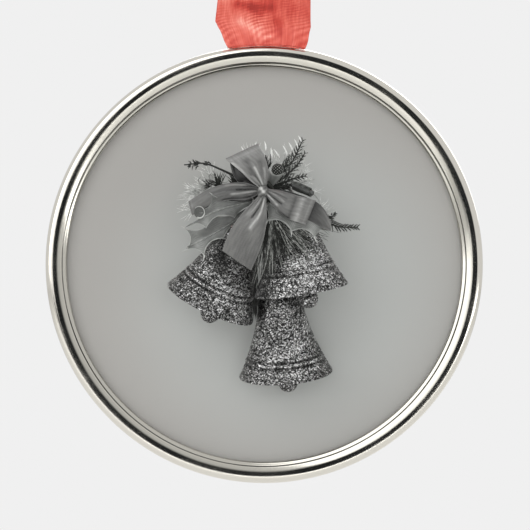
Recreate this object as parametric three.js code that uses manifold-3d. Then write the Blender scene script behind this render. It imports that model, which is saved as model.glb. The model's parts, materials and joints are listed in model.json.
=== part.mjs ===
// A framed bell ornament: a polished round frame hung on a satin ribbon. On its grey face a post carries three
// glittered bells, a small satin bow, holly leaves and evergreen sprigs. Millimetres. +Z is up, the face looks
// along -Y, and the origin is where a hook carries the ribbon loop.
import * as THREE from "three";
import { mergeVertices } from "three/addons/utils/BufferGeometryUtils.js";
import Module from "manifold-3d";

const wasm = await Module();
wasm.setup();

const DEG = Math.PI / 180;
const SLIP = 0.3; // gap round whatever sits in, on or against a neighbour

// ---- driving dimensions ----
const FRAME_RADIUS = 38;
const FRAME_BACK = 3.2; // rear plane of the frame behind the front of the face plate
const BEAD_RADIUS = 1.6; // rolled front bead
const RIM_WALL = 2.7; // radial wall of the frame behind the bead
const LIP_WIDTH = 0.8; // front lip that holds the face plate in
const FACE_THICKNESS = 1.0;
const CARD_THICKNESS = 0.6;
const FRAME_SEGMENTS = 80;

const BAR_RADIUS = 0.5; // lug bar that the ribbon passes under
const LUG_HOLE_WIDTH = 10;
const LUG_CHEEK = 1.2; // width of each side of the lug
const LUG_THICKNESS = 1.2;

const RIBBON_THICKNESS = 0.5;
const RIBBON_WIDTH = 16;
const LOOP_DROP = 56; // from the hook down to the lug bar
const LOOP_DEPTH = 6.2; // each strand's furthest distance from the middle of the loop

const MOUTH_RADIUS = 8.1;
const NECK_RADIUS = 3.85;
const BELL_HEIGHT = 15.2;
const BELL_WALL = 0.6;
const FLARE = 1.5; // how late the side of the bell turns out to the mouth
const SHOULDER_HEIGHT = 2.2;
const CLAPPER_RADIUS = 1.7;

const WIRE_RADIUS = 0.3;
const EYE_RADIUS = 1.05; // middle line of each wire eye
const POST_RADIUS = 1.1;
const POST_HEAD_RADIUS = 2.2;
const TAPE_RADIUS = 1.95; // taped stems round the post

const BOW_RIBBON_WIDTH = 6.4;
const KNOT_RADIUS = 1.3;

// ---- places worked out from them ----
const PLATE_RADIUS = FRAME_RADIUS - RIM_WALL - SLIP;
const BAR_HEIGHT = FRAME_RADIUS + BAR_RADIUS + RIBBON_THICKNESS + 2 * SLIP; // above the middle of the face
const POST = { x: -0.24, z: 12.4 }; // on the face, measured from its middle
const EYE_SEAT = EYE_RADIUS - 2 * WIRE_RADIUS - 0.15; // from the peg down to the middle of the eye on it
const CROWN_DROP = EYE_SEAT + EYE_RADIUS + WIRE_RADIUS + 0.1; // from the peg down to the bell's crown
const MOUTH_DROP = CROWN_DROP + BELL_HEIGHT;
const PEG_REACH = 1.2; // from the eye back to the plane of its hanger
const BELL_GAP = 0.8; // room between a bell and what it swings past

// Each bell leans by its turn about Y, and nods its crown forward by its turn about X.
const LOWER = { lean: -4.6, nod: 13 };
const LEFT = { lean: 25.2, nod: 12.7 };
const RIGHT = { lean: -9, nod: 6 };
const rear = (bell) => MOUTH_RADIUS * Math.cos(bell.nod * DEG);
const forward = (bell) => MOUTH_DROP * Math.sin(bell.nod * DEG);
LOWER.mouth = BELL_GAP - 0.4 + rear(LOWER);
LOWER.peg = LOWER.mouth + forward(LOWER);
RIGHT.mouth = LOWER.peg + PEG_REACH + rear(RIGHT);
RIGHT.peg = RIGHT.mouth + forward(RIGHT);
LEFT.mouth = RIGHT.mouth - MOUTH_RADIUS;
LEFT.peg = LEFT.mouth + forward(LEFT);
// Distances in front of the face of what lies over the bells.
const NEEDLE_DEPTH = RIGHT.peg - MOUTH_DROP * 0.5 * Math.sin(RIGHT.nod * DEG) + NECK_RADIUS + 0.9;
const LEAF_DEPTH = NEEDLE_DEPTH + 1.1;
const BOW_DEPTH = LEAF_DEPTH + 2;
const TAPES = [
  ["rear_tape", LOWER.peg - PEG_REACH + 1.0, LEFT.peg - PEG_REACH - 0.6],
  ["middle_tape", LEFT.peg - PEG_REACH + 0.6, RIGHT.peg - PEG_REACH - 0.6],
  ["front_tape", RIGHT.peg - PEG_REACH + 0.6, LEAF_DEPTH - 0.8],
];

// ---- materials ----
const finish = (color, roughness, metalness = 0) =>
  new THREE.MeshStandardMaterial({ color, roughness, metalness });
const SILVER = finish(0xd9d6cc, 0.12, 1);
const FACE_GREY = finish(0xadafac, 0.35);
const CARD = finish(0x8f8a80, 0.9);
const WIRE = finish(0x9a9a98, 0.3, 1);
const GLITTER = finish(0x6f706e, 0.35, 0.8);
const CORAL = finish(0xe8675a, 0.45);
const GREY_SATIN = finish(0x7d7e7c, 0.4);
const HOLLY = finish(0x6a6c69, 0.3);
const NEEDLE = finish(0x2f312e, 0.6);
const FROST = finish(0xcfd0cc, 0.5);
const TAPE = finish(0x2a2b29, 0.8);

// ---- tools ----
const at = (x, depth, z) => new THREE.Vector3(x, -depth, z);

function named(name, geometry, material) {
  const mesh = new THREE.Mesh(geometry, material);
  mesh.name = name;
  return mesh;
}

// One closed body made of overlapping closed pieces.
function join(...pieces) {
  const solids = pieces.map((piece) => {
    const bare = piece.clone().deleteAttribute("normal").deleteAttribute("uv");
    const merged = mergeVertices(bare, 1e-4);
    return new wasm.Manifold(
      new wasm.Mesh({
        numProp: 3,
        vertProperties: new Float32Array(merged.attributes.position.array),
        triVerts: new Uint32Array(merged.index.array),
      }),
    );
  });
  const mesh = solids.reduce((whole, solid) => whole.add(solid)).getMesh();
  return new THREE.BufferGeometry()
    .setAttribute("position", new THREE.BufferAttribute(mesh.vertProperties, 3))
    .setIndex(new THREE.BufferAttribute(mesh.triVerts, 1));
}

// A round rod from one point to another.
function rod(from, to, radius, sides = 8) {
  const along = to.clone().sub(from);
  const turn = new THREE.Quaternion().setFromUnitVectors(new THREE.Vector3(0, 1, 0), along.clone().normalize());
  return new THREE.CylinderGeometry(radius, radius, along.length(), sides)
    .applyQuaternion(turn)
    .translate(...from.clone().add(to).multiplyScalar(0.5).toArray());
}

// A flat plate cut to a shape drawn in X and Z, between two distances in front of the face (negative is behind).
function plate(shape, frontDepth, backDepth) {
  return new THREE.ExtrudeGeometry(shape, { depth: frontDepth - backDepth, bevelEnabled: false, curveSegments: 40 })
    .rotateX(Math.PI / 2)
    .translate(0, -backDepth, 0);
}

// A body turned round the axis of the face, from a closed profile of [radius, depth] points.
function turned(profile, segments) {
  return new THREE.LatheGeometry(
    profile.map(([radius, depth]) => new THREE.Vector2(radius, -depth)),
    segments,
  );
}

// A strip, leaf or loop: a box drawn out along a smooth line, as wide and thick as the two functions say.
function strip(points, halfWidth, halfThickness, across, steps = 10, spread = (t) => t) {
  const line = new THREE.CatmullRomCurve3(points);
  const geometry = new THREE.BoxGeometry(2, 2, 1, 1, 1, steps);
  const place = geometry.attributes.position;
  for (let i = 0; i < place.count; i++) {
    const t = spread(place.getZ(i) + 0.5);
    const along = line.getTangentAt(t);
    const side = across.clone().addScaledVector(along, -across.dot(along)).normalize();
    const up = along.clone().cross(side);
    const spot = line
      .getPointAt(t)
      .addScaledVector(side, place.getX(i) * halfWidth(t))
      .addScaledVector(up, place.getY(i) * halfThickness(t));
    place.setXYZ(i, spot.x, spot.y, spot.z);
  }
  return geometry;
}

const swell = (start, most, end, peak = 0.55) => (t) =>
  t < peak
    ? start + (most - start) * Math.sin((t / peak) * 90 * DEG)
    : end + (most - end) * Math.cos(((t - peak) / (1 - peak)) * 90 * DEG);

// ---- frame ----
function frameRing() {
  const bead = new THREE.Vector2(FRAME_RADIUS - BEAD_RADIUS, 1);
  const arc = (from, to, steps) =>
    Array.from({ length: steps + 1 }, (_, i) => {
      const a = (from + ((to - from) * i) / steps) * DEG;
      return [bead.x + BEAD_RADIUS * Math.cos(a), bead.y + BEAD_RADIUS * Math.sin(a)];
    });
  const seat = PLATE_RADIUS + SLIP;
  const lip = seat - LIP_WIDTH;
  const profile = [
    [seat, -FRAME_BACK],
    [seat, SLIP],
    [lip, SLIP],
    [lip, 0.75],
    [lip + 0.45, 0.95],
    ...arc(150, 0, 8),
    [FRAME_RADIUS, -FRAME_BACK + 0.9],
    [FRAME_RADIUS - 0.9, -FRAME_BACK],
  ];
  return turned([...profile, profile[0]], FRAME_SEGMENTS);
}

function disc(radius, frontDepth, backDepth, holeRadius = 0) {
  const shape = new THREE.Shape().absarc(0, 0, radius, 0, 360 * DEG);
  if (holeRadius) shape.holes.push(new THREE.Path().absarc(POST.x, POST.z, holeRadius, 0, 360 * DEG, true));
  return plate(shape, frontDepth, backDepth);
}

// The lug stands on top of the frame: two cheeks and the bar that joins them.
function hangerLug() {
  const half = LUG_HOLE_WIDTH / 2;
  const cheek = (side) => {
    const foot = Math.sqrt((FRAME_RADIUS + 0.1) ** 2 - half ** 2);
    const height = BAR_HEIGHT + BAR_RADIUS - foot;
    return new THREE.BoxGeometry(LUG_CHEEK, LUG_THICKNESS, height).translate(
      side * (half + LUG_CHEEK / 2),
      0,
      foot + height / 2,
    );
  };
  const reach = half + LUG_CHEEK / 2;
  return join(cheek(-1), cheek(1), rod(at(-reach, 0, BAR_HEIGHT), at(reach, 0, BAR_HEIGHT), BAR_RADIUS, 10));
}

const cardBack = -(FACE_THICKNESS + SLIP + CARD_THICKNESS);
const frame = [
  named("bezel_ring", frameRing(), SILVER),
  named("face_plate", disc(PLATE_RADIUS, 0, -FACE_THICKNESS, POST_RADIUS + SLIP), FACE_GREY),
  named("backing_card", disc(PLATE_RADIUS, cardBack + CARD_THICKNESS, cardBack, POST_HEAD_RADIUS + SLIP), CARD),
  named("back_cover", disc(PLATE_RADIUS, cardBack - SLIP, -FRAME_BACK), SILVER),
  named("hanger_lug", hangerLug(), SILVER),
];

// ---- post ----
const postAt = (depth) => at(POST.x, depth, POST.z);

// A ring of tape, washer or card round the post.
function collar(radius, backDepth, frontDepth, sides = 16) {
  const bore = POST_RADIUS + SLIP;
  const profile = [
    [bore, backDepth],
    [bore, frontDepth],
    [radius, frontDepth],
    [radius, backDepth],
    [bore, backDepth],
  ];
  return turned(profile, sides).translate(POST.x, 0, POST.z);
}

const headBack = cardBack + 0.1;
const post = [
  named(
    "mounting_post",
    join(
      rod(postAt(headBack), postAt(BOW_DEPTH - KNOT_RADIUS - SLIP), POST_RADIUS, 12),
      rod(postAt(headBack), postAt(-FACE_THICKNESS - SLIP), POST_HEAD_RADIUS, 16),
    ),
    WIRE,
  ),
  named("post_washer", collar(POST_HEAD_RADIUS, SLIP, SLIP + 0.6), WIRE),
  ...TAPES.map(([name, back, front]) => named(name, collar(TAPE_RADIUS, back, front, 12), TAPE)),
];

// ---- bells ----
// The side of the bell at a height above the mouth, drawn in by the wall on the inside.
function bellSide(height, inset) {
  const straight = BELL_HEIGHT - SHOULDER_HEIGHT;
  const share = Math.min(height / straight, 1);
  return NECK_RADIUS + (MOUTH_RADIUS - NECK_RADIUS) * (1 - share) ** FLARE - inset;
}

function bellShell() {
  const straight = BELL_HEIGHT - SHOULDER_HEIGHT;
  const hole = WIRE_RADIUS + SLIP;
  const half = (inset, top) => {
    const side = Array.from({ length: 7 }, (_, i) => {
      const height = (straight * i) / 6;
      return [bellSide(height, inset), height];
    });
    const rise = top - straight;
    const span = NECK_RADIUS - inset;
    const shoulder = [22, 45, 66].map((a) => [span * Math.cos(a * DEG), straight + rise * Math.sin(a * DEG)]);
    return [...side, ...shoulder, [hole, top]];
  };
  const outer = half(0, BELL_HEIGHT);
  const inner = half(BELL_WALL, BELL_HEIGHT - BELL_WALL);
  const profile = [...outer, ...inner.reverse(), outer[0]];
  return new THREE.LatheGeometry(profile.map(([r, h]) => new THREE.Vector2(r, h)), 32)
    .rotateX(Math.PI / 2)
    .translate(0, 0, -MOUTH_DROP);
}

// A ring of wire whose hole looks along Y, or along X when turned.
function eye(centre, sideways = false) {
  const ring = new THREE.TorusGeometry(EYE_RADIUS, WIRE_RADIUS, 6, 14);
  if (sideways) ring.rotateY(Math.PI / 2);
  else ring.rotateX(Math.PI / 2);
  return ring.translate(...centre.toArray());
}

const innerEyeDrop = CROWN_DROP + BELL_WALL + 0.1 + EYE_RADIUS + WIRE_RADIUS;
const clapperDrop = innerEyeDrop + EYE_RADIUS; // the clapper swings on the lowest wire of the inner eye

// The wire that goes through the crown: an eye above for the peg, and one below for the clapper.
function crownEye() {
  const upper = EYE_SEAT + EYE_RADIUS;
  const lower = innerEyeDrop - EYE_RADIUS;
  return join(
    eye(at(0, 0, -EYE_SEAT)),
    rod(at(0, 0, -upper), at(0, 0, -lower), WIRE_RADIUS),
    eye(at(0, 0, -innerEyeDrop), true),
  );
}

// Clapper pieces hang below their own pivot.
const clapperReach = MOUTH_DROP + 1.6 - clapperDrop;
function clapperWire() {
  return join(
    eye(at(0, 0, -EYE_SEAT)),
    rod(at(0, 0, -EYE_SEAT - EYE_RADIUS), at(0, 0, -clapperReach + CLAPPER_RADIUS + 0.05), WIRE_RADIUS),
  );
}

// A bell on its peg: the group stands at the peg, and its own Z runs up through the crown.
function bell(name, peg, pose, clapperLean) {
  const shell = new THREE.Group();
  shell.position.copy(peg);
  shell.rotation.set(pose.nod * DEG, pose.lean * DEG, 0, "YXZ");
  const clapper = new THREE.Group();
  clapper.position.set(0, 0, -clapperDrop);
  clapper.rotation.y = clapperLean * DEG;
  const ball = new THREE.SphereGeometry(CLAPPER_RADIUS, 14, 9).translate(0, 0, -clapperReach);
  clapper.add(named(name + "_clapper_wire", clapperWire(), WIRE), named(name + "_clapper_ball", ball, GLITTER));
  shell.add(named(name + "_shell", bellShell(), GLITTER), named(name + "_crown_eye", crownEye(), WIRE), clapper);
  return shell;
}

// A wire that hangs a bell from the post: a ring round the post, an arm, and a peg forward through the bell's eye.
function hanger(peg) {
  const depth = -peg.y - PEG_REACH;
  const ringRadius = POST_RADIUS + WIRE_RADIUS + 0.15;
  const ring = new THREE.TorusGeometry(ringRadius, WIRE_RADIUS, 6, 16).rotateX(Math.PI / 2);
  const corner = at(peg.x, depth, peg.z);
  const start = postAt(depth);
  const leave = corner.clone().sub(start).setLength(ringRadius).add(start);
  return join(
    ring.translate(...start.toArray()),
    rod(leave, corner, WIRE_RADIUS),
    rod(at(peg.x, depth - WIRE_RADIUS, peg.z), at(peg.x, depth + PEG_REACH + 0.9, peg.z), WIRE_RADIUS),
  );
}

const grow = MOUTH_RADIUS / 8.1; // the bells spread as they get wider
const tall = MOUTH_DROP / 16.95; // and the lower one hangs further down as they get longer
const pegs = {
  left: at(-2.24 * grow, LEFT.peg, POST.z - 4.1 * grow),
  right: at(3.7 * grow, RIGHT.peg, POST.z - 0.15),
  lower: at(2.43 * grow, LOWER.peg, POST.z - 14.75 * Math.max(grow, tall)),
};
const bells = [
  bell("left_bell", pegs.left, LEFT, -3),
  bell("right_bell", pegs.right, RIGHT, -4),
  bell("lower_bell", pegs.lower, LOWER, -1),
  ...["left", "right", "lower"].map((side) => named(side + "_hanger", hanger(pegs[side]), WIRE)),
];

// ---- bow ----
const ACROSS = new THREE.Vector3(0.2, 0, 1);
const bowHalf = BOW_RIBBON_WIDTH / 2;
const bow = [
  named(
    "bow_knot",
    new THREE.SphereGeometry(KNOT_RADIUS, 12, 8).translate(...postAt(BOW_DEPTH).toArray()),
    GREY_SATIN,
  ),
  named(
    "bow_upper_loop",
    strip(
      [at(-1, BOW_DEPTH, 14.2), at(-1.8, BOW_DEPTH + 0.5, 16.2), at(-3, BOW_DEPTH + 0.2, 18.8)],
      swell(0.6, bowHalf * 0.85, bowHalf * 0.85, 0.8),
      swell(0.4, 1, 0.5),
      new THREE.Vector3(1, 0, 0.45),
    ),
    GREY_SATIN,
  ),
  named(
    "bow_right_loop",
    strip(
      [at(1.45, BOW_DEPTH, 11.8), at(4.2, BOW_DEPTH + 0.5, 10.6), at(7.2, BOW_DEPTH, 9)],
      swell(0.5, bowHalf * 0.75, bowHalf * 0.7, 0.8),
      swell(0.4, 1, 0.5),
      ACROSS,
    ),
    GREY_SATIN,
  ),
  named(
    "bow_left_loop",
    strip(
      [at(-1.95, BOW_DEPTH, 12.4), at(-5.2, BOW_DEPTH + 0.2, 12.3), at(-9.6, BOW_DEPTH - 1.2, 11.7)],
      swell(0.5, bowHalf * 0.55, bowHalf * 0.4, 0.6),
      swell(0.4, 0.9, 0.4),
      ACROSS,
    ),
    GREY_SATIN,
  ),
  named(
    "bow_front_tail",
    strip(
      [at(-0.55, BOW_DEPTH, 10.75), at(-2.4, BOW_DEPTH + 0.3, 5.6), at(-4.4, BOW_DEPTH - 0.6, 0.6)],
      swell(0.6, bowHalf, bowHalf * 0.95, 0.7),
      () => 0.25,
      new THREE.Vector3(1, 0, -0.25),
    ),
    GREY_SATIN,
  ),
  named(
    "bow_right_tail",
    strip(
      [at(6.4, LEAF_DEPTH + 0.7, 9.3), at(8.6, LEAF_DEPTH + 0.65, 8.5), at(11, LEAF_DEPTH + 0.3, 7)],
      swell(1.6, bowHalf * 0.7, bowHalf * 0.62, 0.7),
      () => 0.2,
      ACROSS,
    ),
    GREY_SATIN,
  ),
];

// ---- leaves and sprigs ----
const leaf = (name, points, half, across = ACROSS) =>
  named(name, strip(points, swell(0.4, half, 0.3, 0.45), () => 0.25, across), HOLLY);
const sprig = (name, points, halfWidth, halfThickness, material, across = ACROSS) =>
  named(name, strip(points, halfWidth, () => halfThickness, across), material);

const frontTape = -TAPES[2][1];
const middleTape = -TAPES[1][1];
const rearTape = -TAPES[0][1];
const greens = [
  leaf("holly_leaf_left", [at(-2.2, LEAF_DEPTH, 11), at(-6.4, LEAF_DEPTH - 0.6, 9.4), at(-12.2, LEAF_DEPTH - 2, 7.4)], 2.2),
  leaf(
    "holly_leaf_lower",
    [at(-2.6, LEAF_DEPTH - 1.2, 10), at(-6.6, LEAF_DEPTH - 2.2, 6.6), at(-11.4, LEAF_DEPTH - 3.6, 2.4)],
    3,
    new THREE.Vector3(0.7, 0, 1),
  ),
  leaf("holly_leaf_right", [at(1.6, LEAF_DEPTH, 10.4), at(5.2, LEAF_DEPTH, 7.8), at(10.4, LEAF_DEPTH - 0.4, 5.4)], 2.3),
  sprig(
    "front_needles",
    [at(1.6, NEEDLE_DEPTH - 0.1, 8), at(2.8, NEEDLE_DEPTH + 0.3, 3.6), at(3.6, NEEDLE_DEPTH + 0.45 * (MOUTH_RADIUS - NECK_RADIUS), -1.4)],
    swell(0.5, 4.2, 4.2, 0.9),
    0.2,
    NEEDLE,
    new THREE.Vector3(1, 0, 0.2),
  ),
  sprig(
    "cedar_upper_right",
    [at(1.9, -frontTape + 1.2, 14.3), at(4, -frontTape + 0.8, 17), at(6.3, -frontTape + 0.4, 20.8)],
    swell(0.3, 1.7, 0.3),
    0.45,
    NEEDLE,
    new THREE.Vector3(1, 0, -0.7),
  ),
  sprig(
    "cedar_right",
    [
      at(2.3, -rearTape + 0.2, 11.6),
      at(5.4, -rearTape + 0.2, 10.8),
      at(9.8, -rearTape, 8.6),
      at(15.6, -rearTape - 0.4, 6.4),
    ],
    swell(0.3, 0.9, 0.3, 0.8),
    0.35,
    NEEDLE,
  ),
  sprig(
    "twig_left",
    [
      at(-2.3, -middleTape + 2.2, 13.8),
      at(-6, -middleTape + 2.2, 15.4),
      at(-9.8, -middleTape + 2, 17.2),
      at(-13.6, -middleTape + 1.6, 17),
    ],
    swell(0.25, 0.6, 0.3, 0.8),
    0.3,
    NEEDLE,
  ),
  sprig(
    "fern_left",
    [at(-2.8, -middleTape + 0.8, 12.6), at(-6.4, -middleTape + 0.6, 13.2), at(-10.8, -middleTape + 0.2, 14.2)],
    swell(0.3, 1.3, 0.4),
    0.3,
    NEEDLE,
  ),
  sprig(
    "twig_top",
    [at(-0.1, -middleTape + 1.6, 15), at(0.5, -middleTape + 1.8, 17), at(0, -middleTape + 1.6, 19.4)],
    swell(0.3, 0.9, 0.3),
    0.3,
    NEEDLE,
    new THREE.Vector3(1, 0, 0),
  ),
  sprig(
    "frosted_needles_top",
    [at(0.2, -rearTape + 1.4, 15.2), at(0.8, -rearTape + 1.6, 18), at(1.6, -rearTape + 1.6, 21.2)],
    swell(0.5, 5, 5, 0.9),
    0.3,
    FROST,
    new THREE.Vector3(1, 0, 0),
  ),
  sprig(
    "frosted_needles_left",
    [at(-2.8, -rearTape + 1.4, 12), at(-8, -rearTape + 1.6, 12), at(-14.6, -rearTape + 1.6, 12)],
    swell(0.4, 2.2, 1.6, 0.8),
    0.3,
    FROST,
  ),
  sprig(
    "frosted_needles_right",
    [at(2.4, -rearTape + 1.4, 13), at(7, -rearTape + 1.6, 13.6), at(11.4, -rearTape + 1.6, 14.6)],
    swell(0.4, 3.4, 3.4, 0.9),
    0.3,
    FROST,
  ),
];

// A bract rolled into a cup with a seed cone in its mouth, and a second rolled bract beside it.
const cupDepth = -frontTape + 3.3;
const cup = { foot: at(1.1, cupDepth, 14.5), mouth: at(1.9, cupDepth, 15.6) };
const bracts = [
  named(
    "bract_cup",
    new THREE.CylinderGeometry(1.3, 0.3, cup.mouth.distanceTo(cup.foot), 10)
      .applyQuaternion(
        new THREE.Quaternion().setFromUnitVectors(
          new THREE.Vector3(0, 1, 0),
          cup.mouth.clone().sub(cup.foot).normalize(),
        ),
      )
      .translate(...cup.foot.clone().add(cup.mouth).multiplyScalar(0.5).toArray()),
    HOLLY,
  ),
  named(
    "seed_cone",
    new THREE.SphereGeometry(0.95, 10, 7).translate(...at(2.65, cupDepth, 16.65).toArray()),
    NEEDLE,
  ),
  named("rolled_bract", rod(at(3.9, LEAF_DEPTH - 0.7, 12.6), at(7.5, LEAF_DEPTH - 0.7, 12.2), 0.9, 10), HOLLY),
];

// ---- hanging ribbon ----
// One strand comes down in front of the lug bar, turns under it and goes up behind it to the knot.
function ribbonLoop() {
  const half = RIBBON_THICKNESS / 2;
  const wrap = BAR_RADIUS + SLIP + half;
  const strand = (side) =>
    [
      [0.9, 0.8],
      [LOOP_DEPTH * 0.55, -LOOP_DROP * 0.12],
      [LOOP_DEPTH, -LOOP_DROP * 0.38],
      [LOOP_DEPTH * 0.95, -LOOP_DROP * 0.62],
      [LOOP_DEPTH * 0.55, -LOOP_DROP * 0.85],
      [wrap * 1.25, -LOOP_DROP + 2.6],
      [wrap, -LOOP_DROP],
    ].map(([depth, z]) => at(0, side * depth, z));
  const fold = at(0, 0, -LOOP_DROP - wrap);
  const points = [...strand(1), fold, ...strand(-1).reverse()];
  const width = (t) => {
    const fromFold = Math.min(Math.abs(t - 0.5) * 2, 1);
    const narrow = LUG_HOLE_WIDTH / 2 - SLIP;
    const wide = RIBBON_WIDTH / 2;
    const open = Math.sin(Math.min(fromFold / 0.45, 1) * 90 * DEG);
    const close = Math.sin(Math.min((1 - fromFold) / 0.3, 1) * 90 * DEG);
    return Math.min(narrow + (wide - narrow) * open, 4 + (wide - 4) * close);
  };
  const nearFold = (t) => 0.5 + Math.sign(t - 0.5) * 2 * (t - 0.5) ** 2; // shorter steps round the bar
  return strip(points, width, () => half, new THREE.Vector3(1, 0, 0), 48, nearFold);
}

const ribbon = [
  named("hanging_ribbon", ribbonLoop(), CORAL),
  named(
    "ribbon_knot",
    new THREE.SphereGeometry(1, 14, 9).scale(4.4, 3, 2.8).translate(0, 0, 0.8 + SLIP + 2.8),
    CORAL,
  ),
  ...[1, -1].map((side) =>
    named(
      side > 0 ? "ribbon_tail_front" : "ribbon_tail_rear",
      strip(
        [at(side * 0.8, side * 0.9, 6.9), at(side * 2, side * 2, 12), at(side * 4, side * 2.4, 19)],
        swell(2.2, RIBBON_WIDTH * 0.36, RIBBON_WIDTH * 0.34, 0.7),
        () => RIBBON_THICKNESS / 2,
        new THREE.Vector3(1, 0, 0),
      ),
      CORAL,
    ),
  ),
];

const medallion = new THREE.Group();
medallion.position.z = -LOOP_DROP - BAR_HEIGHT;
medallion.add(...frame, ...post, ...bells, ...bow, ...greens, ...bracts);

const ornament = new THREE.Group();
ornament.add(...ribbon, medallion);

export default ornament;
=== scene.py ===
"""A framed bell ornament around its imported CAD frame: a polished round frame on a coral satin ribbon, with
three glittered bells, a satin bow, holly and evergreen sprigs on its grey face. Metres, +Z up, face to -Y."""

import json

import bpy
import numpy as np
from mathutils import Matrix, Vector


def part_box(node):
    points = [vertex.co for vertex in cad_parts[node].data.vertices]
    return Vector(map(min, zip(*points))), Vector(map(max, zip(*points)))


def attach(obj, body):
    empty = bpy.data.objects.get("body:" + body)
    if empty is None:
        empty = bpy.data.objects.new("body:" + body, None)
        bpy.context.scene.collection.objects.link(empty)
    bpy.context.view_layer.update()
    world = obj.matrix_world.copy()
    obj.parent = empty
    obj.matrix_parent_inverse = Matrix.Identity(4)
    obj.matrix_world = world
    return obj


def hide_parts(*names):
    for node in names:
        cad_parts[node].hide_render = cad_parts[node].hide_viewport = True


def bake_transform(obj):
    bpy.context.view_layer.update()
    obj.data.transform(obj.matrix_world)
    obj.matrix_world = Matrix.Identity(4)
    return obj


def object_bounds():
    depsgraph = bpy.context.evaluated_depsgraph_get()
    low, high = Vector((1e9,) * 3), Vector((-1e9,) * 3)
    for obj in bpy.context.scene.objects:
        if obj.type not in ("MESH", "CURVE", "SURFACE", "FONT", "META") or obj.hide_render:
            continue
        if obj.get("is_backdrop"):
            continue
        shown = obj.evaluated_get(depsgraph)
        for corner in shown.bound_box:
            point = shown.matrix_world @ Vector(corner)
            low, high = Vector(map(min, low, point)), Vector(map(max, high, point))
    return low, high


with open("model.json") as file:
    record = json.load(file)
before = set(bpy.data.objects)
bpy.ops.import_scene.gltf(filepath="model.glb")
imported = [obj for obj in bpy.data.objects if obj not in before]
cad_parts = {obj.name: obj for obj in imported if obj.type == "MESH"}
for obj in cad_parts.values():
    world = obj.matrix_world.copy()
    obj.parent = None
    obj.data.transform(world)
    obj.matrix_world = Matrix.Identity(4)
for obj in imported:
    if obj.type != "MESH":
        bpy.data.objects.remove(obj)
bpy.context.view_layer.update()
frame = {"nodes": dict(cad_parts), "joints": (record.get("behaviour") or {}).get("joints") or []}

# ---- Studio ----
# A pale room with one large soft light from the upper left, a weaker one from the right, and a dark gap
# where the camera stands, which polished metal shows as a thin dark line along its crest.
MM = 0.001
low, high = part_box("face_plate")
CENTRE = np.array([0, 0, (low.z + high.z) / 2 / MM])  # the middle of the face, in millimetres


def linear(code):
    """An sRGB colour written as #rrggbb, as linear red, green, blue and an alpha of 1: each channel c is
    c / 12.92 below 0.04045, and ((c + 0.055) / 1.055) to the power 2.4 above it."""
    c = np.array([int(code[i : i + 2], 16) for i in (1, 3, 5)]) / 255
    return (*np.where(c <= 0.04045, c / 12.92, ((c + 0.055) / 1.055) ** 2.4).tolist(), 1.0)


def add(tree, kind, settings=None, **links):
    """Adds a node of this kind to the tree. A setting is one of its sockets, by name or number, one of its
    properties, or the stops of a ramp, each a place and a colour. A link's name is the socket it goes into,
    with _ for a space, or s and the socket's number."""
    made = tree.nodes.new("ShaderNode" + kind)
    for key, value in (settings or {}).items():
        if key == "stops":
            first, *others, last = value
            for stop, (place, color) in zip(made.color_ramp.elements, (first, last)):
                stop.position = place
                stop.color = linear(color)
            for place, color in others:
                made.color_ramp.elements.new(place).color = linear(color)
        elif isinstance(key, int) or key in made.inputs:
            made.inputs[key].default_value = value
        else:
            setattr(made, key, value)
    for key, output in links.items():
        numbered = key[0] == "s" and key[1:].isdigit()
        tree.links.new(output, made.inputs[int(key[1:]) if numbered else key.replace("_", " ")])
    return made


world = bpy.data.worlds.new("studio")
bpy.context.scene.world = world
world.use_nodes = True
sky = world.node_tree
sky.nodes.clear()
toward = add(sky, "TexCoord").outputs["Generated"]
forward = add(sky, "SeparateXYZ", Vector=toward).outputs["Y"]
dark_gap = {1: -0.985, 2: -0.93, 3: 0.0, 4: 1.0, "interpolation_type": "SMOOTHSTEP"}
room = add(sky, "MapRange", dark_gap, s0=forward)
walls = add(sky, "MixRGB", {1: linear("#292b2d"), 2: linear("#f0f0f0")}, s0=room.outputs[0])
seen = add(sky, "LightPath").outputs["Is Camera Ray"]
strength = add(sky, "MapRange", {3: 0.74, 4: 1.0}, s0=seen)
pale = add(sky, "MixRGB", {2: linear("#f0f0f0")}, s0=seen, s1=walls.outputs[0])
back = add(sky, "Background", s0=pale.outputs[0], s1=strength.outputs[0])
add(sky, "OutputWorld", s0=back.outputs[0])

for name, spot, size, watts in (
    ("key_softbox", (-0.42, -0.75, 0.36), 0.85, 2.6),
    ("right_softbox", (0.5, -0.7, -0.4), 0.7, 2.8),
    ("front_fill", (0.06, -1.12, -0.04), 0.6, 4.6),
    ("rear_softbox", (0.15, 0.7, 0.3), 0.5, 2.0),
):
    light = bpy.data.lights.new(name, "AREA")
    light.energy = watts
    light.size = size
    lamp = bpy.data.objects.new(name, light)
    lamp.visible_glossy = name != "front_fill"
    bpy.context.scene.collection.objects.link(lamp)
    lamp.location = np.array(spot) + CENTRE * MM
    aim = bpy.data.objects.new(name + "_aim", None)
    bpy.context.scene.collection.objects.link(aim)
    aim.location = CENTRE * MM
    track = lamp.constraints.new("TRACK_TO")
    track.target = aim
    track.track_axis = "TRACK_NEGATIVE_Z"
    track.up_axis = "UP_Y"

camera = bpy.data.objects.new("camera", bpy.data.cameras.new("camera"))
bpy.context.scene.collection.objects.link(camera)
DISTANCE = 1.0  # metres from the face
VIEW_WIDTH = 92.2  # millimetres that the view takes in at the face
camera.location = ((CENTRE + [0.14, 0, -0.09]) * MM).tolist()
camera.location.y = -DISTANCE
camera.rotation_euler = (np.pi / 2, 0, 0)
camera.data.lens = camera.data.sensor_width * DISTANCE / (VIEW_WIDTH * MM)
camera.data.clip_start = 0.05
bpy.context.scene.camera = camera
bpy.context.scene.view_settings.view_transform = "Standard"

# ---- Floor ----
# A plain pale floor of matt paper, laid flat well below the hanging ornament. It only stages the ornament.
# Every new mesh from here on is a grid of points, worked out as whole arrays and put together by build.


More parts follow.
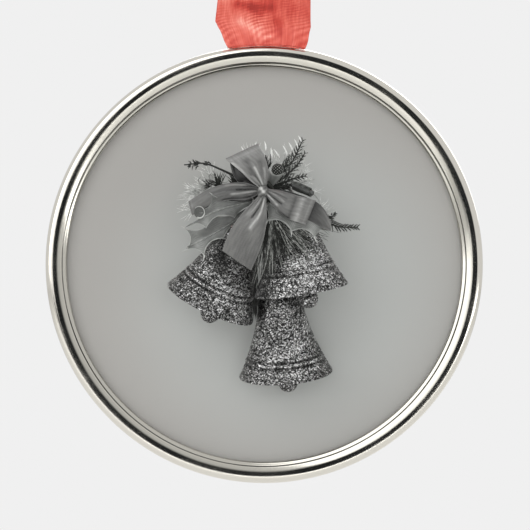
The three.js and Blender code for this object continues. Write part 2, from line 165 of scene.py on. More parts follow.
def grid(points, round_rows=False, round_columns=False, ends=False, **more):
    """One part of a mesh from points[row, column]: a quad between each point and the next along both ways,
    going round where asked, with one face over the first row and one over the last where ends is true."""
    n, m = points.shape[:2]
    i, j = np.meshgrid(np.arange(n - 1 + round_rows), np.arange(m - 1 + round_columns), indexing="ij")
    i2, j2 = (i + 1) % n, (j + 1) % m
    faces = [np.stack([i * m + j, i * m + j2, i2 * m + j2, i2 * m + j], -1).reshape(-1, 4)]
    if ends:
        faces += [np.arange(m)[None, ::-1], np.arange(m)[None, :] + (n - 1) * m]
    return {"points": points.reshape(-1, 3), "faces": faces, **more}


def build(name, parts, material, body, replaced=(), offset=CENTRE):
    """Puts the parts, in millimetres from offset, into one mesh. A part whose signed volume, the sum of its
    corner triple products over six, is negative is turned inside out first. Then the piece gets its material,
    is parented to its body's empty when it has a body, and the CAD parts it replaces are hidden."""
    points, faces, uv, shade = [], [], [], []
    start = 0
    for part in parts if isinstance(parts, list) else [parts]:
        p, volume = part["points"], 0
        for f in part["faces"]:
            for k in range(1, f.shape[1] - 1):
                volume += np.einsum("ij,ij->", p[f[:, 0]], np.cross(p[f[:, k]], p[f[:, k + 1]]))
        way = -1 if volume < 0 else 1
        faces += [row for f in part["faces"] for row in (f[:, ::way] + start).tolist()]
        points.append(p)
        uv.append(part.get("uv", np.zeros((len(p), 2))))
        shade.append(np.broadcast_to(part.get("shade", 0.5), len(p)))
        start += len(p)
    mesh = bpy.data.meshes.new(name)
    mesh.from_pydata((np.concatenate(points) + offset) * MM, [], faces)
    mesh.attributes.new("shade", "FLOAT", "POINT")
    mesh.attributes["shade"].data.foreach_set("value", np.concatenate(shade).astype(np.float32))
    corner = np.zeros(len(mesh.loops), np.int32)
    mesh.loops.foreach_get("vertex_index", corner)
    mesh.uv_layers.new(name="surface")
    corner_uv = np.concatenate(uv)[corner].ravel().astype(np.float32)
    mesh.uv_layers["surface"].data.foreach_set("uv", corner_uv)
    mesh.polygons.foreach_set("use_smooth", np.ones(len(mesh.polygons), bool))
    mesh.materials.append(material)
    piece = bpy.data.objects.new(name, mesh)
    bpy.context.scene.collection.objects.link(piece)
    if body:
        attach(piece, body)
    if replaced:
        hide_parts(*replaced)
    return piece


def new_material(name, color, roughness, metallic=0.0, **sockets):
    """A material with one Principled shader. Returns it, its tree and its shader, ready for its patterns."""
    made = bpy.data.materials.new(name)
    made.use_nodes = True
    tree = made.node_tree
    tree.nodes.clear()
    settings = {"Base Color": linear(color), "Roughness": roughness, "Metallic": metallic}
    settings.update({key.replace("_", " "): value for key, value in sockets.items()})
    shader = add(tree, "BsdfPrincipled", settings)
    add(tree, "OutputMaterial", s0=shader.outputs[0])
    return made, tree, shader


def per_mm(size):
    """The scale that makes a pattern on Object coordinates repeat once in this many millimetres: one over the
    size in metres."""
    return 1 / (size * MM)


def link(tree, output, shader, socket):
    """Joins an output to one of the shader's sockets."""
    tree.links.new(output, shader.inputs[socket])


FLOOR_HEIGHT = -260.0  # millimetres from the hang point
paper, tree, shader = new_material("matt_pale_paper", "#e9e9e8", 0.9)
where = add(tree, "TexCoord").outputs["Object"]
fibre = add(tree, "TexNoise", {"Scale": per_mm(1.2), "Detail": 3.0}, Vector=where)
bump = add(tree, "Bump", {"Strength": 0.05, "Distance": 0.0001}, Height=fibre.outputs[0])
link(tree, bump.outputs[0], shader, "Normal")
edge = np.linspace(-1500, 1500, 9)
floor_points = np.stack(np.broadcast_arrays(edge[:, None], edge[None, :], FLOOR_HEIGHT), -1)
floor = build("floor", grid(floor_points), paper, None, offset=np.zeros(3))
floor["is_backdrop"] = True

# ---- Bezel ring ----
# The frame is a rolled ring of silver-plated zinc, polished. From an upright lip round the face a gentle
# slope rises to a flat crest, and the outer side is rounded. It mirrors the pale room, and its crest a dark
# line.
silver, tree, shader = new_material("polished_silver_plate", "#f3efe5", 0.1, 1.0)
where = add(tree, "TexCoord").outputs["Object"]
haze = add(tree, "TexNoise", {"Scale": per_mm(9), "Detail": 4.0}, Vector=where)
wear_and_painted_shade = add(tree, "MapRange", {1: 0.35, 2: 0.75, 3: 0.07, 4: 0.16}, s0=haze.outputs[0])
link(tree, wear_and_painted_shade.outputs[0], shader, "Roughness")
hairline = add(tree, "TexNoise", {"Scale": per_mm(0.5), "Detail": 6.0, "Roughness": 0.7}, Vector=where)
bump = add(tree, "Bump", {"Strength": 0.03, "Distance": 0.00003}, Height=hairline.outputs[0])
link(tree, bump.outputs[0], shader, "Normal")
# The side facing in is painted darker: a painted shade that dims its reflection there.
ring_painted_shade_fac = add(tree, "Attribute", {"attribute_name": "shade"}).outputs["Fac"]
plating_and_painted_shade = add(tree, "MixRGB", {1: linear("#d9d6cc"), 2: linear("#f3efe5")}, s0=ring_painted_shade_fac)
link(tree, plating_and_painted_shade.outputs[0], shader, "Base Color")

RING_RADIUS = 38.0
LIP_RADIUS = 34.3  # where the lip stands on the face
SEAT_RADIUS = 35.3  # of the recess behind the lip, which holds the face, card and cover
REAR = 3.2  # how far the ring reaches behind the face
RING_STEPS = 320
lip = [[SEAT_RADIUS, -REAR], [SEAT_RADIUS, 0.3], [LIP_RADIUS + 0.12, 0.3], [LIP_RADIUS, 0.36]]
lip += [[LIP_RADIUS, 1.5], [34.34, 1.66], [34.44, 1.74], [34.75, 1.81], [35.1, 1.88], [35.14, 1.93]]
lip += [[35.2, 1.95]]
# From the top of the lip the front rises by one in five, with a fine step at 35.1 mm, to a flat crest at
# 36.7 mm. The outer side is a quarter round.
slope = np.array([[35.45, 2.0], [35.7, 2.05], [35.95, 2.1], [36.1, 2.12]])
crest = [[36.24, 2.135], [36.42, 2.145], [36.6, 2.15], [36.78, 2.15], [36.96, 2.142], [37.1, 2.13]]
arc = np.radians(np.linspace(74, 0, 16))
outer = np.stack([36.96 + 1.04 * np.cos(arc), 0.9 + 1.27 * np.sin(arc)], -1)
turn = np.radians(np.linspace(0, -90, 6))
foot = np.stack([RING_RADIUS - 0.9 + 0.9 * np.cos(turn), -REAR + 0.9 + 0.9 * np.sin(turn)], -1)


def turned(profile, segments, ripple=None, round_rows=True, ends=False, **more):
    """A turned body: each [radius, height] of the profile goes round the Z axis. ripple(row, angle), when
    given, is added to the radius."""
    profile = np.asarray(profile, float)
    a = np.linspace(0, 2 * np.pi, segments, endpoint=False)[None, :]
    r = profile[:, :1] + (0 if ripple is None else ripple(np.arange(len(profile))[:, None], a))
    p = np.stack(np.broadcast_arrays(r * np.cos(a), r * np.sin(a), profile[:, 1:]), -1)
    return grid(p, round_rows, True, ends, **more)


def face_on(part):
    """Turns a part made round the Z axis, so that its height becomes the distance in front of the face."""
    x, y, z = part["points"].T
    part["points"] = np.stack([x, -z, y], -1)
    return part


ring_profile = np.concatenate([lip, slope, crest, outer[2:], [[RING_RADIUS, -REAR + 1.4]], foot])
# The painted shade ends between 36.3 and 36.9 mm from the middle.
ring_painted_shade_mask = np.repeat(np.clip((ring_profile[:, 0] - 36.3) / 0.6, 0, 1), RING_STEPS)
ring = turned(ring_profile, RING_STEPS, shade=ring_painted_shade_mask)
build("bezel_ring_polished", face_on(ring), silver, "medallion", ["bezel_ring"])

# ---- Face, backing and cover ----
# The face is a steel disc with a baked grey lacquer, smooth and satin, with a painted shade that darkens it
# towards the rim. A card lies behind it, and a pressed metal cover closes the back.
coat = {"Coat_Weight": 0.12, "Coat_Roughness": 0.3}
lacquer, tree, shader = new_material("satin_grey_lacquer", "#acaeab", 0.42, **coat)
where = add(tree, "TexCoord").outputs["Object"]
# The painted shade at the edge is lopsided: its middle is 4 mm to the right of the face's and 4 mm below.
middle = add(tree, "Mapping", {"vector_type": "POINT", 1: (-4 * MM, 0, (4 - CENTRE[2]) * MM)}, s0=where)
flat = add(tree, "VectorMath", {"operation": "MULTIPLY", 1: (1, 0, 1)}, s0=middle.outputs[0])
out = add(tree, "VectorMath", {"operation": "LENGTH"}, s0=flat.outputs[0])
rim_shade_span = {1: 0.016, 2: 0.035, "interpolation_type": "SMOOTHSTEP"}  # metres from that middle
rim_painted_shade = add(tree, "MapRange", rim_shade_span, s0=out.outputs["Value"])
tone = add(tree, "MixRGB", {1: linear("#aeb0ad"), 2: linear("#a19f9b")}, s0=rim_painted_shade.outputs[0])
orange_peel = add(tree, "TexNoise", {"Scale": per_mm(0.9), "Detail": 2.0}, Vector=where)
bump = add(tree, "Bump", {"Strength": 0.06, "Distance": 0.00004}, Height=orange_peel.outputs[0])
link(tree, tone.outputs[0], shader, "Base Color")
link(tree, bump.outputs[0], shader, "Normal")
plate = frame["nodes"]["face_plate"]
plate.data.materials.clear()
plate.data.materials.append(lacquer)

# The card is plain grey board, matt and flecked with pulp.
board, tree, shader = new_material("grey_board", "#8f8a80", 0.92)
where = add(tree, "TexCoord").outputs["Object"]
pulp = add(tree, "TexNoise", {"Scale": per_mm(0.4), "Detail": 5.0}, Vector=where)
fleck = add(tree, "MixRGB", {1: linear("#837e75"), 2: linear("#9a958b")}, s0=pulp.outputs[0])
link(tree, fleck.outputs[0], shader, "Base Color")
card = frame["nodes"]["backing_card"]
card.data.materials.clear()
card.data.materials.append(board)

# The cover is spun: faint turning rings, a shallow step near its edge and a rounded corner.
pressed, tree, shader = new_material("spun_silver_plate", "#d9d5ca", 0.24, 1.0)
where = add(tree, "TexCoord").outputs["Object"]
middle = add(tree, "Mapping", {"vector_type": "POINT", 1: (0, 0, -CENTRE[2] * MM)}, s0=where)
# A wave repeats 20 / (2 pi) times in one unit of its scale, so the rings are 0.5 mm apart.
spinning = {"wave_type": "RINGS", "rings_direction": "Y", "Scale": per_mm(1.6), "Distortion": 0.6}
rings = add(tree, "TexWave", spinning, Vector=middle.outputs[0])
bump = add(tree, "Bump", {"Strength": 0.12, "Distance": 0.00002}, Height=rings.outputs[0])
link(tree, bump.outputs[0], shader, "Normal")
smear = add(tree, "TexNoise", {"Scale": per_mm(14), "Detail": 5.0}, Vector=where)
dull = add(tree, "MapRange", {1: 0.3, 2: 0.75, 3: 0.17, 4: 0.36}, s0=smear.outputs[0])
link(tree, dull.outputs[0], shader, "Roughness")
COVER_RADIUS = 35.0
COVER_FRONT = -2.2
# The step near the cover's edge is 0.14 mm deep.
cover_profile = [[0.02, COVER_FRONT], [COVER_RADIUS, COVER_FRONT], [COVER_RADIUS, -REAR + 0.25]]
cover_profile += [[34.75, -REAR], [31.2, -REAR], [30.9, -REAR + 0.14], [29.9, -REAR + 0.14]]
cover_profile += [[29.6, -REAR], [0.02, -REAR]]
cover = turned(cover_profile, 240, round_rows=False, ends=True)
build("back_cover_spun", face_on(cover), pressed, "medallion", ["back_cover"])

# ---- Hanger lug ----
# A bail of round wire, soldered on top of the ring: two legs with spread feet and the bar that the ribbon
# turns round. Its bar stands just clear of the ribbon.


def curve(points, t):
    """A smooth line through the points at t from 0 to 1: on each span a cubic Hermite blend, whose slopes at
    its ends are the differences between neighbouring points."""
    p = np.asarray(points, float)
    k = np.concatenate([[0], np.cumsum(np.linalg.norm(np.diff(p, axis=0), axis=1))])
    k /= k[-1]
    slope = np.gradient(p, k, axis=0)
    i = np.clip(np.searchsorted(k, t, side="right") - 1, 0, len(k) - 2)
    span = (k[i + 1] - k[i])[..., None]
    u = (t - k[i])[..., None] / span
    near = (2 * u**3 - 3 * u**2 + 1) * p[i] + (u**3 - 2 * u**2 + u) * span * slope[i]
    return near + (3 * u**2 - 2 * u**3) * p[i + 1] + (u**3 - u**2) * span * slope[i + 1]


def unit(v):
    """Each vector divided by its length."""
    return v / np.maximum(np.linalg.norm(v, axis=-1, keepdims=True), 1e-12)


def tube(path, radius, sides=12, closed=False, side=(0.31, 0.13, 0.94), **more):
    """A round tube along the path: at each point a circle of that radius, square to the path's slope. Its
    ends are rounded over by three smaller circles, and a closed path joins its own start."""
    path = np.asarray(path, float)
    r = np.broadcast_to(np.asarray(radius, float), len(path))
    if closed:
        slope = unit(np.roll(path, -1, 0) - np.roll(path, 1, 0))
    else:
        slope = unit(np.gradient(path, axis=0))
        turn = np.radians([90 - 8, 60, 30])
        head = path[0] - slope[0] * (np.sin(turn) * r[0])[:, None]
        tail = path[-1] + slope[-1] * (np.sin(turn[::-1]) * r[-1])[:, None]
        path = np.concatenate([head, path, tail])
        slope = np.concatenate([slope[[0, 0, 0]], slope, slope[[-1, -1, -1]]])
        r = np.concatenate([np.cos(turn) * r[0], r, np.cos(turn[::-1]) * r[-1]])
    first = unit(np.asarray(side) - (slope @ np.asarray(side))[:, None] * slope)
    second = np.cross(slope, first)
    a = np.linspace(0, 2 * np.pi, sides, endpoint=False)
    ring = first[:, None] * np.cos(a)[:, None] + second[:, None] * np.sin(a)[:, None]
    return grid(path[:, None] + ring * r[:, None, None], closed, True, not closed, **more)


BAR_HEIGHT = 39.6  # above the middle of the face
BAR_HALF = 5.6
WIRE = 0.5
leg = [[-BAR_HALF, 0, 37.75], [-BAR_HALF, 0, 38.3], [-BAR_HALF, 0, 39.0]]
leg += [[-BAR_HALF + 0.2, 0, 39.42], [-BAR_HALF + 0.65, 0, BAR_HEIGHT]]
loop = np.array(leg + [[-x, y, z] for x, y, z in leg[::-1]])
t = np.linspace(0, 1, 90)
spread = WIRE + 0.35 * np.exp(-np.minimum(t, 1 - t) / 0.02)
bail = tube(curve(loop, t), spread, 16, side=(0, 1, 0))
build("hanger_lug_bail", bail, silver, "medallion", ["hanger_lug"])

# ---- Hanging ribbon ----
# Coral satin, 16 mm wide: one band that comes down in front of the bar, folds under it, and goes up behind
# to the knot. It is bunched where it goes through the lug, so ridges fan out from there and from the knot.


def cloth(points, thickness, across=None, along=None, shade=None):
    """A thin closed sheet from the points of its middle: they are moved half the thickness out and in along
    the surface's normal, which is the cross product of its two slopes, and the four edges are closed. Its UV
    map holds the millimetres across and along, measured on the surface unless they are given. A shade given
    at the middle's points is put on both sides."""
    du = np.gradient(points, axis=1)
    dv = np.gradient(points, axis=0)
    out = unit(np.cross(du, dv)) * thickness / 2
    both = np.concatenate([points + out, (points - out)[:, ::-1]], 1)
    n, m = both.shape[:2]
    part = grid(both, round_columns=True)
    j = np.arange(m // 2 - 1)
    strip = np.stack([j, m - 1 - j, m - 2 - j, j + 1], -1)
    part["faces"] += [strip, strip[:, ::-1] + (n - 1) * m]
    u = np.cumsum(np.linalg.norm(du, axis=-1), 1) if across is None else across
    v = np.cumsum(np.linalg.norm(dv, axis=-1), 0) if along is None else along
    part["uv"] = np.concatenate([np.stack([u, v], -1), np.stack([u, v], -1)[:, ::-1]], 1).reshape(-1, 2)
    if shade is not None:
        part["shade"] = np.concatenate([shade, shade[:, ::-1]], 1).ravel()
    return part


def ease(x):
    """Goes smoothly from 0 to 1 as x does: 3 x squared less 2 x cubed."""
    x = np.clip(x, 0, 1)
    return x * x * (3 - 2 * x)


# Satin's long floats of thread make it soft and glossy. Its pale crests and deep red folds are painted
# highlight and painted shade, carried by the shade attribute.
sheen = {"Sheen_Weight": 0.25, "Sheen_Roughness": 0.4}
satin, tree, shader = new_material("coral_satin_weave", "#ee8072", 0.36, **sheen)
mapped = add(tree, "UVMap", {"uv_map": "surface"}).outputs[0]  # millimetres across and along
drawn = add(tree, "Mapping", {2: (0, 0, 0.42), 3: (3.2, 0.34, 1)}, s0=mapped)
gloss = add(tree, "TexNoise", {"Scale": 1.0, "Detail": 4.0, "Roughness": 0.6}, Vector=drawn.outputs[0])
streak = add(tree, "MapRange", {1: 0.3, 2: 0.7, 3: -0.16, 4: 0.16}, s0=gloss.outputs[0])
# The shade is 0 deep in a fold and 1 out in the light.
shadow = add(tree, "Attribute", {"attribute_name": "shade"}).outputs["Fac"]
tone = add(tree, "Math", {"operation": "ADD"}, s0=shadow, s1=streak.outputs[0])
stops = [(0.0, "#a5261b"), (0.28, "#c63f32"), (0.52, "#da5d4d"), (0.78, "#eb7d6d"), (1.0, "#f7aa99")]
ramp = add(tree, "ValToRGB", {"stops": stops}, s0=tone.outputs[0])
link(tree, ramp.outputs[0], shader, "Base Color")
# The threads are 0.1 mm apart; they are drawn 0.35 mm apart so that they show.
threads = {"bands_direction": "Y", "Scale": 2 * np.pi / 20 / 0.35, "Distortion": 0.4}
weft = add(tree, "TexWave", threads, Vector=mapped)
height = add(tree, "Math", {"operation": "MULTIPLY_ADD", 1: 0.35}, s0=weft.outputs[0], s2=gloss.outputs[0])
bump = add(tree, "Bump", {"Strength": 0.35, "Distance": 0.00012}, Height=height.outputs[0])
link(tree, bump.outputs[0], shader, "Normal")

LOOP_DROP = 56.0  # from the hang point to the bar
WRAP = 1.05  # from the bar's middle to the band's
down = [[0.5, 3.2], [0.95, 0.8], [3.41, -6.72], [6.2, -21.28], [5.89, -34.72], [3.41, -47.6]]
down += [[1.6, -53], [1.12, -54.9], [WRAP, -LOOP_DROP]]
under = [[0.75, -LOOP_DROP - 0.75], [0, -LOOP_DROP - WRAP], [-0.75, -LOOP_DROP - 0.75]]
route = np.array(down + under + [[-d, z] for d, z in down[::-1]])
v = np.linspace(-1, 1, 360)
line = curve(route, 0.5 + np.sign(v) * np.abs(v) ** 1.7 / 2)
length = np.concatenate([[0], np.cumsum(np.linalg.norm(np.diff(line, axis=0), axis=1))])
fold = np.abs(length - length[-1] / 2)[:, None]  # millimetres from the fold
knot = (length[-1] / 2 - 2.4 - fold[:, 0])[:, None].clip(0)  # and from the knot
u = np.linspace(-1, 1, 121)[None, :]
above = [0, 0.75, 1.6, 2.4, 3.4, 4.4, 8.0, 12.0, 90.0]  # millimetres along from the fold under the bar
left = np.interp(fold, above, [-4.6, -4.6, -5.6, -6.9, -8.0, -8.5, -8.1, -7.7, -7.9])
right = np.interp(fold, above, [4.6, 4.6, 6.6, 7.6, 8.1, 8.05, 8.05, 7.7, 7.9])
gather = 1 - 0.52 * (1 - ease(knot / 15))
front = np.where(length < length[-1] / 2, 1, -1)[:, None]
x = (left + (right - left) * (u + 1) / 2) * gather
pleat = 0.03 + 0.19 * ease((fold - 4) / 9) * np.exp(-fold / 24) + 0.5 * np.exp(-knot / 9) * ease(knot / 2)
swing = 2.1 * u * (1 + 0.5 * np.exp(-fold / 8)) + 0.05 * fold
ridges = np.sin(2 * np.pi * swing) + 0.45 * np.sin(2 * np.pi * (1.9 * swing + 0.3))
ridges = ridges + 0.25 * np.sin(9.7 * swing + 0.21 * fold)
soft = 0.28 * np.sin(2.6 * u + 0.11 * fold) * ease(fold / 6)
# Fine crinkles 0.55 mm apart cross the ribbon above the bar. They rise to the right and fade over 11 mm.
phase = (fold - 0.27 * x - 0.12 * np.sin(1.1 * x + 0.7 * fold)) / 0.55
crinkle = np.sin(2 * np.pi * phase) * ease((fold - 1.2) / 1.5) * np.exp(-fold / 11)
crinkle = crinkle * (0.55 + 0.45 * np.sin(0.9 * x + 0.5 * fold))
# The front layer bellies forward over the bar and rests on the rim below it.
belly = np.exp(-(((fold - 1.5) / 1.0) ** 2)) * (front > 0)
depth = line[:, :1] + front * (pleat * (0.62 * ridges + 0.75) + soft + 0.09 * crinkle) + 0.95 * belly
rim = np.sqrt((RING_RADIUS + 0.02) ** 2 - np.clip(x, -20, 20) ** 2) + CENTRE[2]
z = line[:, 1:] + (rim - line[:, 1:]) * np.clip(1.25 * belly, 0, 1) + 0 * u
hang = np.stack(np.broadcast_arrays(x, -depth, z), -1)
up = z - CENTRE[2]


def patch(x0, z0, x1, z1, width):
    """A bell curve of the distance from a line across the ribbon's front, for its patches of painted shadow
    and painted highlight.
    """
    ax, az = x1 - x0, z1 - z0
    s = np.clip(((x - x0) * ax + (up - z0) * az) / (ax * ax + az * az), 0, 1)
    return np.exp(-((np.hypot(x - x0 - s * ax, up - z0 - s * az) / width) ** 2))


# The ribbon's shade is painted light: its ridges and crinkles are lit and shaded in the colour, and patches
# of painted shadow (dark) and painted highlight (light) lie across its front.
tone = 0.55 + 0.13 * ridges * (0.3 + 0.7 * ease((fold - 6) / 6))
tone = tone + (0.24 + 0.3 * patch(-2.6, 42.3, 2.2, 43.4, 1.0)) * crinkle
dark = 0.46 * patch(-4.5, 45.3, 1.0, 44.4, 0.8) + 0.3 * patch(-2.2, 44.4, -0.6, 43.4, 0.6)
dark = dark + 0.2 * patch(0.6, 46.2, 6.4, 43.8, 1.5) + 0.34 * patch(2.2, 42.4, 2.8, 40.2, 0.8)
light = 0.38 * patch(-4.4, 42.3, -1.2, 40.7, 1.0) + 0.28 * patch(-7.0, 46.4, -2.4, 46.6, 0.9)
light = light + 0.3 * patch(-0.8, 39.4, 1.4, 39.5, 0.4)
tone = tone - dark + light
# A painted shadow darkens the front layer where it rests on the rim.
tone = np.where(belly > 0.3, tone - 0.25 * belly * np.sin(1.1 * x + 0.9) ** 2, tone)
across = (u + 1) * 8 + 0 * fold
along = length[:, None] + 0 * u
strip = cloth(hang, 0.22, across, along, tone)
band = build("hanging_ribbon_satin", strip, satin, "", ["hanging_ribbon"], np.zeros(3))
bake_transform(band)

# The knot is the two ends tied over each other: a tight bundle with creases that wind round it. Its two tails
# stand up from it, are cut on the slant, and spread.
KNOT_CENTRE = [0, 0, 3.95]


def ball(centre, radius, rows=28, columns=40, swell=None, **more):
    """A globe: at latitude a and longitude b its radius is multiplied by swell(a, b), and its two small polar
    rings are closed."""
    a = np.linspace(-np.pi / 2 + 0.06, np.pi / 2 - 0.06, rows)[:, None]
    b = np.linspace(0, 2 * np.pi, columns, endpoint=False)[None, :]
    r = np.asarray(radius, float)
    if swell is not None:
        r = r * swell(a, b)[..., None]
    p = np.stack(np.broadcast_arrays(np.cos(a) * np.cos(b), np.cos(a) * np.sin(b), np.sin(a)), -1)
    return grid(np.asarray(centre) + p * r, False, True, True, **more)


def creased(a, b):
    """Two sets of winding creases: the radius dips by 0.13 and by 0.07 where the sines of angles that grow
    with both latitude and longitude pass through zero."""
    first = np.abs(np.sin(1.5 * b + 1.7 * a + 0.4)) ** 0.45
    second = np.abs(np.sin(4 * b - 3.1 * a)) ** 0.6
    return 0.82 + 0.13 * first + 0.07 * second


bundle = ball(KNOT_CENTRE, [4.3, 2.9, 2.75], 60, 120, creased)
build("ribbon_knot_satin", bundle, satin, "ribbon", ["ribbon_knot"], np.zeros(3))
for name, side, lean in (("front", 1, 2.72), ("rear", -1, -3.4)):
    s = np.linspace(0, 1, 60)[:, None]
    u = np.linspace(-1, 1, 31)[None, :]
    reach = s * (13.2 + 1.6 * side * u)  # the slanting cut
    half = 3 + 4.8 * ease(s * 1.6)
    wave = 0.5 * np.exp(-3.2 * s) * np.sin(6.5 * u + 1) + 0.4 * s * np.sin(2.4 * u + 3 * s)
    x = side * 0.4 + u * half + lean * s**1.4
    y = -side * (0.75 + 1.1 * s) - wave
    tail = cloth(np.stack(np.broadcast_arrays(x, y, 6.1 + reach), -1), 0.2)
    node = "ribbon_tail_" + name
    piece = build(node + "_satin", tail, satin, "ribbon", [node], np.zeros(3))

# ---- Post, washer and tape ----
# A steel stud is riveted through the face and carries everything on it. Stem tape, stretched dark crepe
# paper, is wound round it in a rising spiral wherever stems are bound on.
# Drawn steel is bright grey under a haze of fine drawing marks.
steel, tree, shader = new_material("drawn_steel_wire", "#a7a7a4", 0.3, 1.0)
where = add(tree, "TexCoord").outputs["Object"]
draw = add(tree, "TexNoise", {"Scale": per_mm(0.35), "Detail": 4.0}, Vector=where)
matt = add(tree, "MapRange", {3: 0.22, 4: 0.42}, s0=draw.outputs[0])
link(tree, matt.outputs[0], shader, "Roughness")
for name in ("mounting_post", "post_washer"):
    stud = frame["nodes"][name]
    stud.data.materials.clear()
    stud.data.materials.append(steel)

# The crepe is dark and dull, painted paler on the crests of its wrinkles and darker in their hollows: a
# painted shade that follows its bump.
crepe, tree, shader = new_material("dark_crepe_tape", "#2c2d2a", 0.85)
where = add(tree, "TexCoord").outputs["Object"]
crinkle = add(tree, "TexNoise", {"Scale": per_mm(0.3), "Detail": 4.0}, Vector=where)
bump = add(tree, "Bump", {"Strength": 0.5, "Distance": 0.0001}, Height=crinkle.outputs[0])
link(tree, bump.outputs[0], shader, "Normal")
shadow = add(tree, "MixRGB", {1: linear("#1d1e1c"), 2: linear("#41423e")}, s0=crinkle.outputs[0])
link(tree, shadow.outputs[0], shader, "Base Color")
POST = np.array([-0.24, 0, 12.4])
TAPE_RADIUS = 1.84
TAPE_CORE = 1.2
TAPE_ROWS = 46
for name in ("rear_tape", "middle_tape", "front_tape"):
    low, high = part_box(name)
    h = np.linspace(-high.y / MM, -low.y / MM, TAPE_ROWS)
    side = np.stack([np.full(TAPE_ROWS, TAPE_RADIUS), h], -1)
    shape = np.concatenate([[[TAPE_CORE, h[0]]], side, [[TAPE_CORE, h[-1]]]])
    turns = np.concatenate([[0], h, [0]])[:, None]

    def wound(row, angle):
        """A rising spiral of overlapping edges: a saw tooth, 0.12 high, once every 1.3 mm."""
        tooth = (turns[row[:, 0]] / 1.3 + angle / (2 * np.pi)) % 1
        return np.where((row > 0) & (row <= TAPE_ROWS), 0.12 * tooth, 0)

    wrap = face_on(turned(shape, 48, wound))
    wrap["points"] = wrap["points"] + POST
    build(name + "_wound", wrap, crepe, "medallion", [name])

# ---- Bells ----
# Three thin pressed bells on steel pegs, flared, with a rolled lip, grooves and a belt of scrolls. Each holds
# a clapper on a wire. Coarse silver glitter coats them over dark lacquer: every flake is a small mirror
# turned its own way, so that white ones lie beside black ones.
glitter, tree, shader = new_material("coarse_silver_glitter", "#808080", 0.3, 0.72, Specular_IOR_Level=0.6)
where = add(tree, "TexCoord").outputs["Object"]
# The flakes are 0.17 mm across.
flakes = add(tree, "TexVoronoi", {"Scale": per_mm(0.17), "Randomness": 1.0}, Vector=where)
cell = add(tree, "SeparateColor", s0=flakes.outputs["Color"])
mottled = add(tree, "TexNoise", {"Scale": per_mm(3.2), "Detail": 2.0}, Vector=where)
cloudy = add(tree, "Math", {"operation": "MULTIPLY_ADD", 1: 0.45, 2: -0.22}, s0=mottled.outputs[0])
flecked = add(tree, "Math", {"operation": "ADD"}, s0=cell.outputs[0], s1=cloudy.outputs[0])
# The shade attribute is painted light: 0 is painted shade in a groove, 1 a painted highlight.
wear_and_painted_shade = add(tree, "Attribute", {"attribute_name": "shade"}).outputs["Fac"]
lift = add(tree, "Math", {"operation": "MULTIPLY_ADD", 1: 0.8, 2: -0.4}, s0=wear_and_painted_shade)
level = add(tree, "Math", {"operation": "ADD"}, s0=flecked.outputs[0], s1=lift.outputs[0])
stops = [(0.12, "#101010"), (0.46, "#3a3a39"), (0.76, "#939391"), (1.0, "#ffffff")]
ramp = add(tree, "ValToRGB", {"stops": stops}, s0=level.outputs[0])
link(tree, ramp.outputs[0], shader, "Base Color")
tip = add(tree, "VectorMath", {"operation": "SUBTRACT", 1: (0.5, 0.5, 0.5)}, s0=flakes.outputs["Color"])
tilted = add(tree, "VectorMath", {"operation": "SCALE", "Scale": 0.65}, s0=tip.outputs[0])
plain = add(tree, "NewGeometry").outputs["Normal"]
facet = add(tree, "VectorMath", {"operation": "ADD"}, s0=plain, s1=tilted.outputs[0])
sharp = add(tree, "VectorMath", {"operation": "NORMALIZE"}, s0=facet.outputs[0])
link(tree, sharp.outputs[0], shader, "Normal")
rough = add(tree, "MapRange", {3: 0.28, 4: 0.6}, s0=cell.outputs[1])
link(tree, rough.outputs[0], shader, "Roughness")

MOUTH = 8.1
NECK = 3.85
TALL = 15.2
SHOULDER = 2.2  # the height of the rounded top
WALL = 0.6
SIDE_ROWS = 120
TOP_ROWS = 10
BELL_STEPS = 240
FAINT_GROOVE = 7.4  # above the mouth
SEAT = 0.3  # the eye's middle hangs this far below its peg
EYE = 1.05  # the radius of the eye's middle line
THIN = 0.3  # the radius of its wire
CROWN = SEAT + EYE + THIN + 0.1
MOUTH_DROP = CROWN + TALL
INNER_EYE = CROWN + WALL + 0.1 + EYE + THIN
CLAPPER_DROP = INNER_EYE + EYE
CLAPPER_REACH = MOUTH_DROP + 1.6 - CLAPPER_DROP  # the ball's middle hangs 1.6 mm below the mouth
PEG_REACH = 1.2  # from the hanger's arm forward to the eye
HOOP = 1.55  # the radius of a hanger's ring round the post


def bell_side(h):
    """The radius of the bell at height h above its mouth: the neck's radius plus the rest times (1 - h / the
    straight height) to the power 1.5."""
    return NECK + (MOUTH - NECK) * (1 - np.clip(h / (TALL - SHOULDER), 0, 1)) ** 1.5


def scrolls(h, angle):
    """Fourteen curled scrolls round a belt 1.95 mm above the mouth: the cosine of the angle about each
    scroll's middle plus 4.2 times the distance from it, fading with that distance squared."""
    slot = 2 * np.pi / 14
    across = ((angle + 0.09 * h) % slot - slot / 2) * bell_side(h)
    up = h - 1.95
    away = np.hypot(across, up)
    return np.cos(np.arctan2(up, across) + 4.2 * away) * np.exp(-((away / 0.95) ** 2))


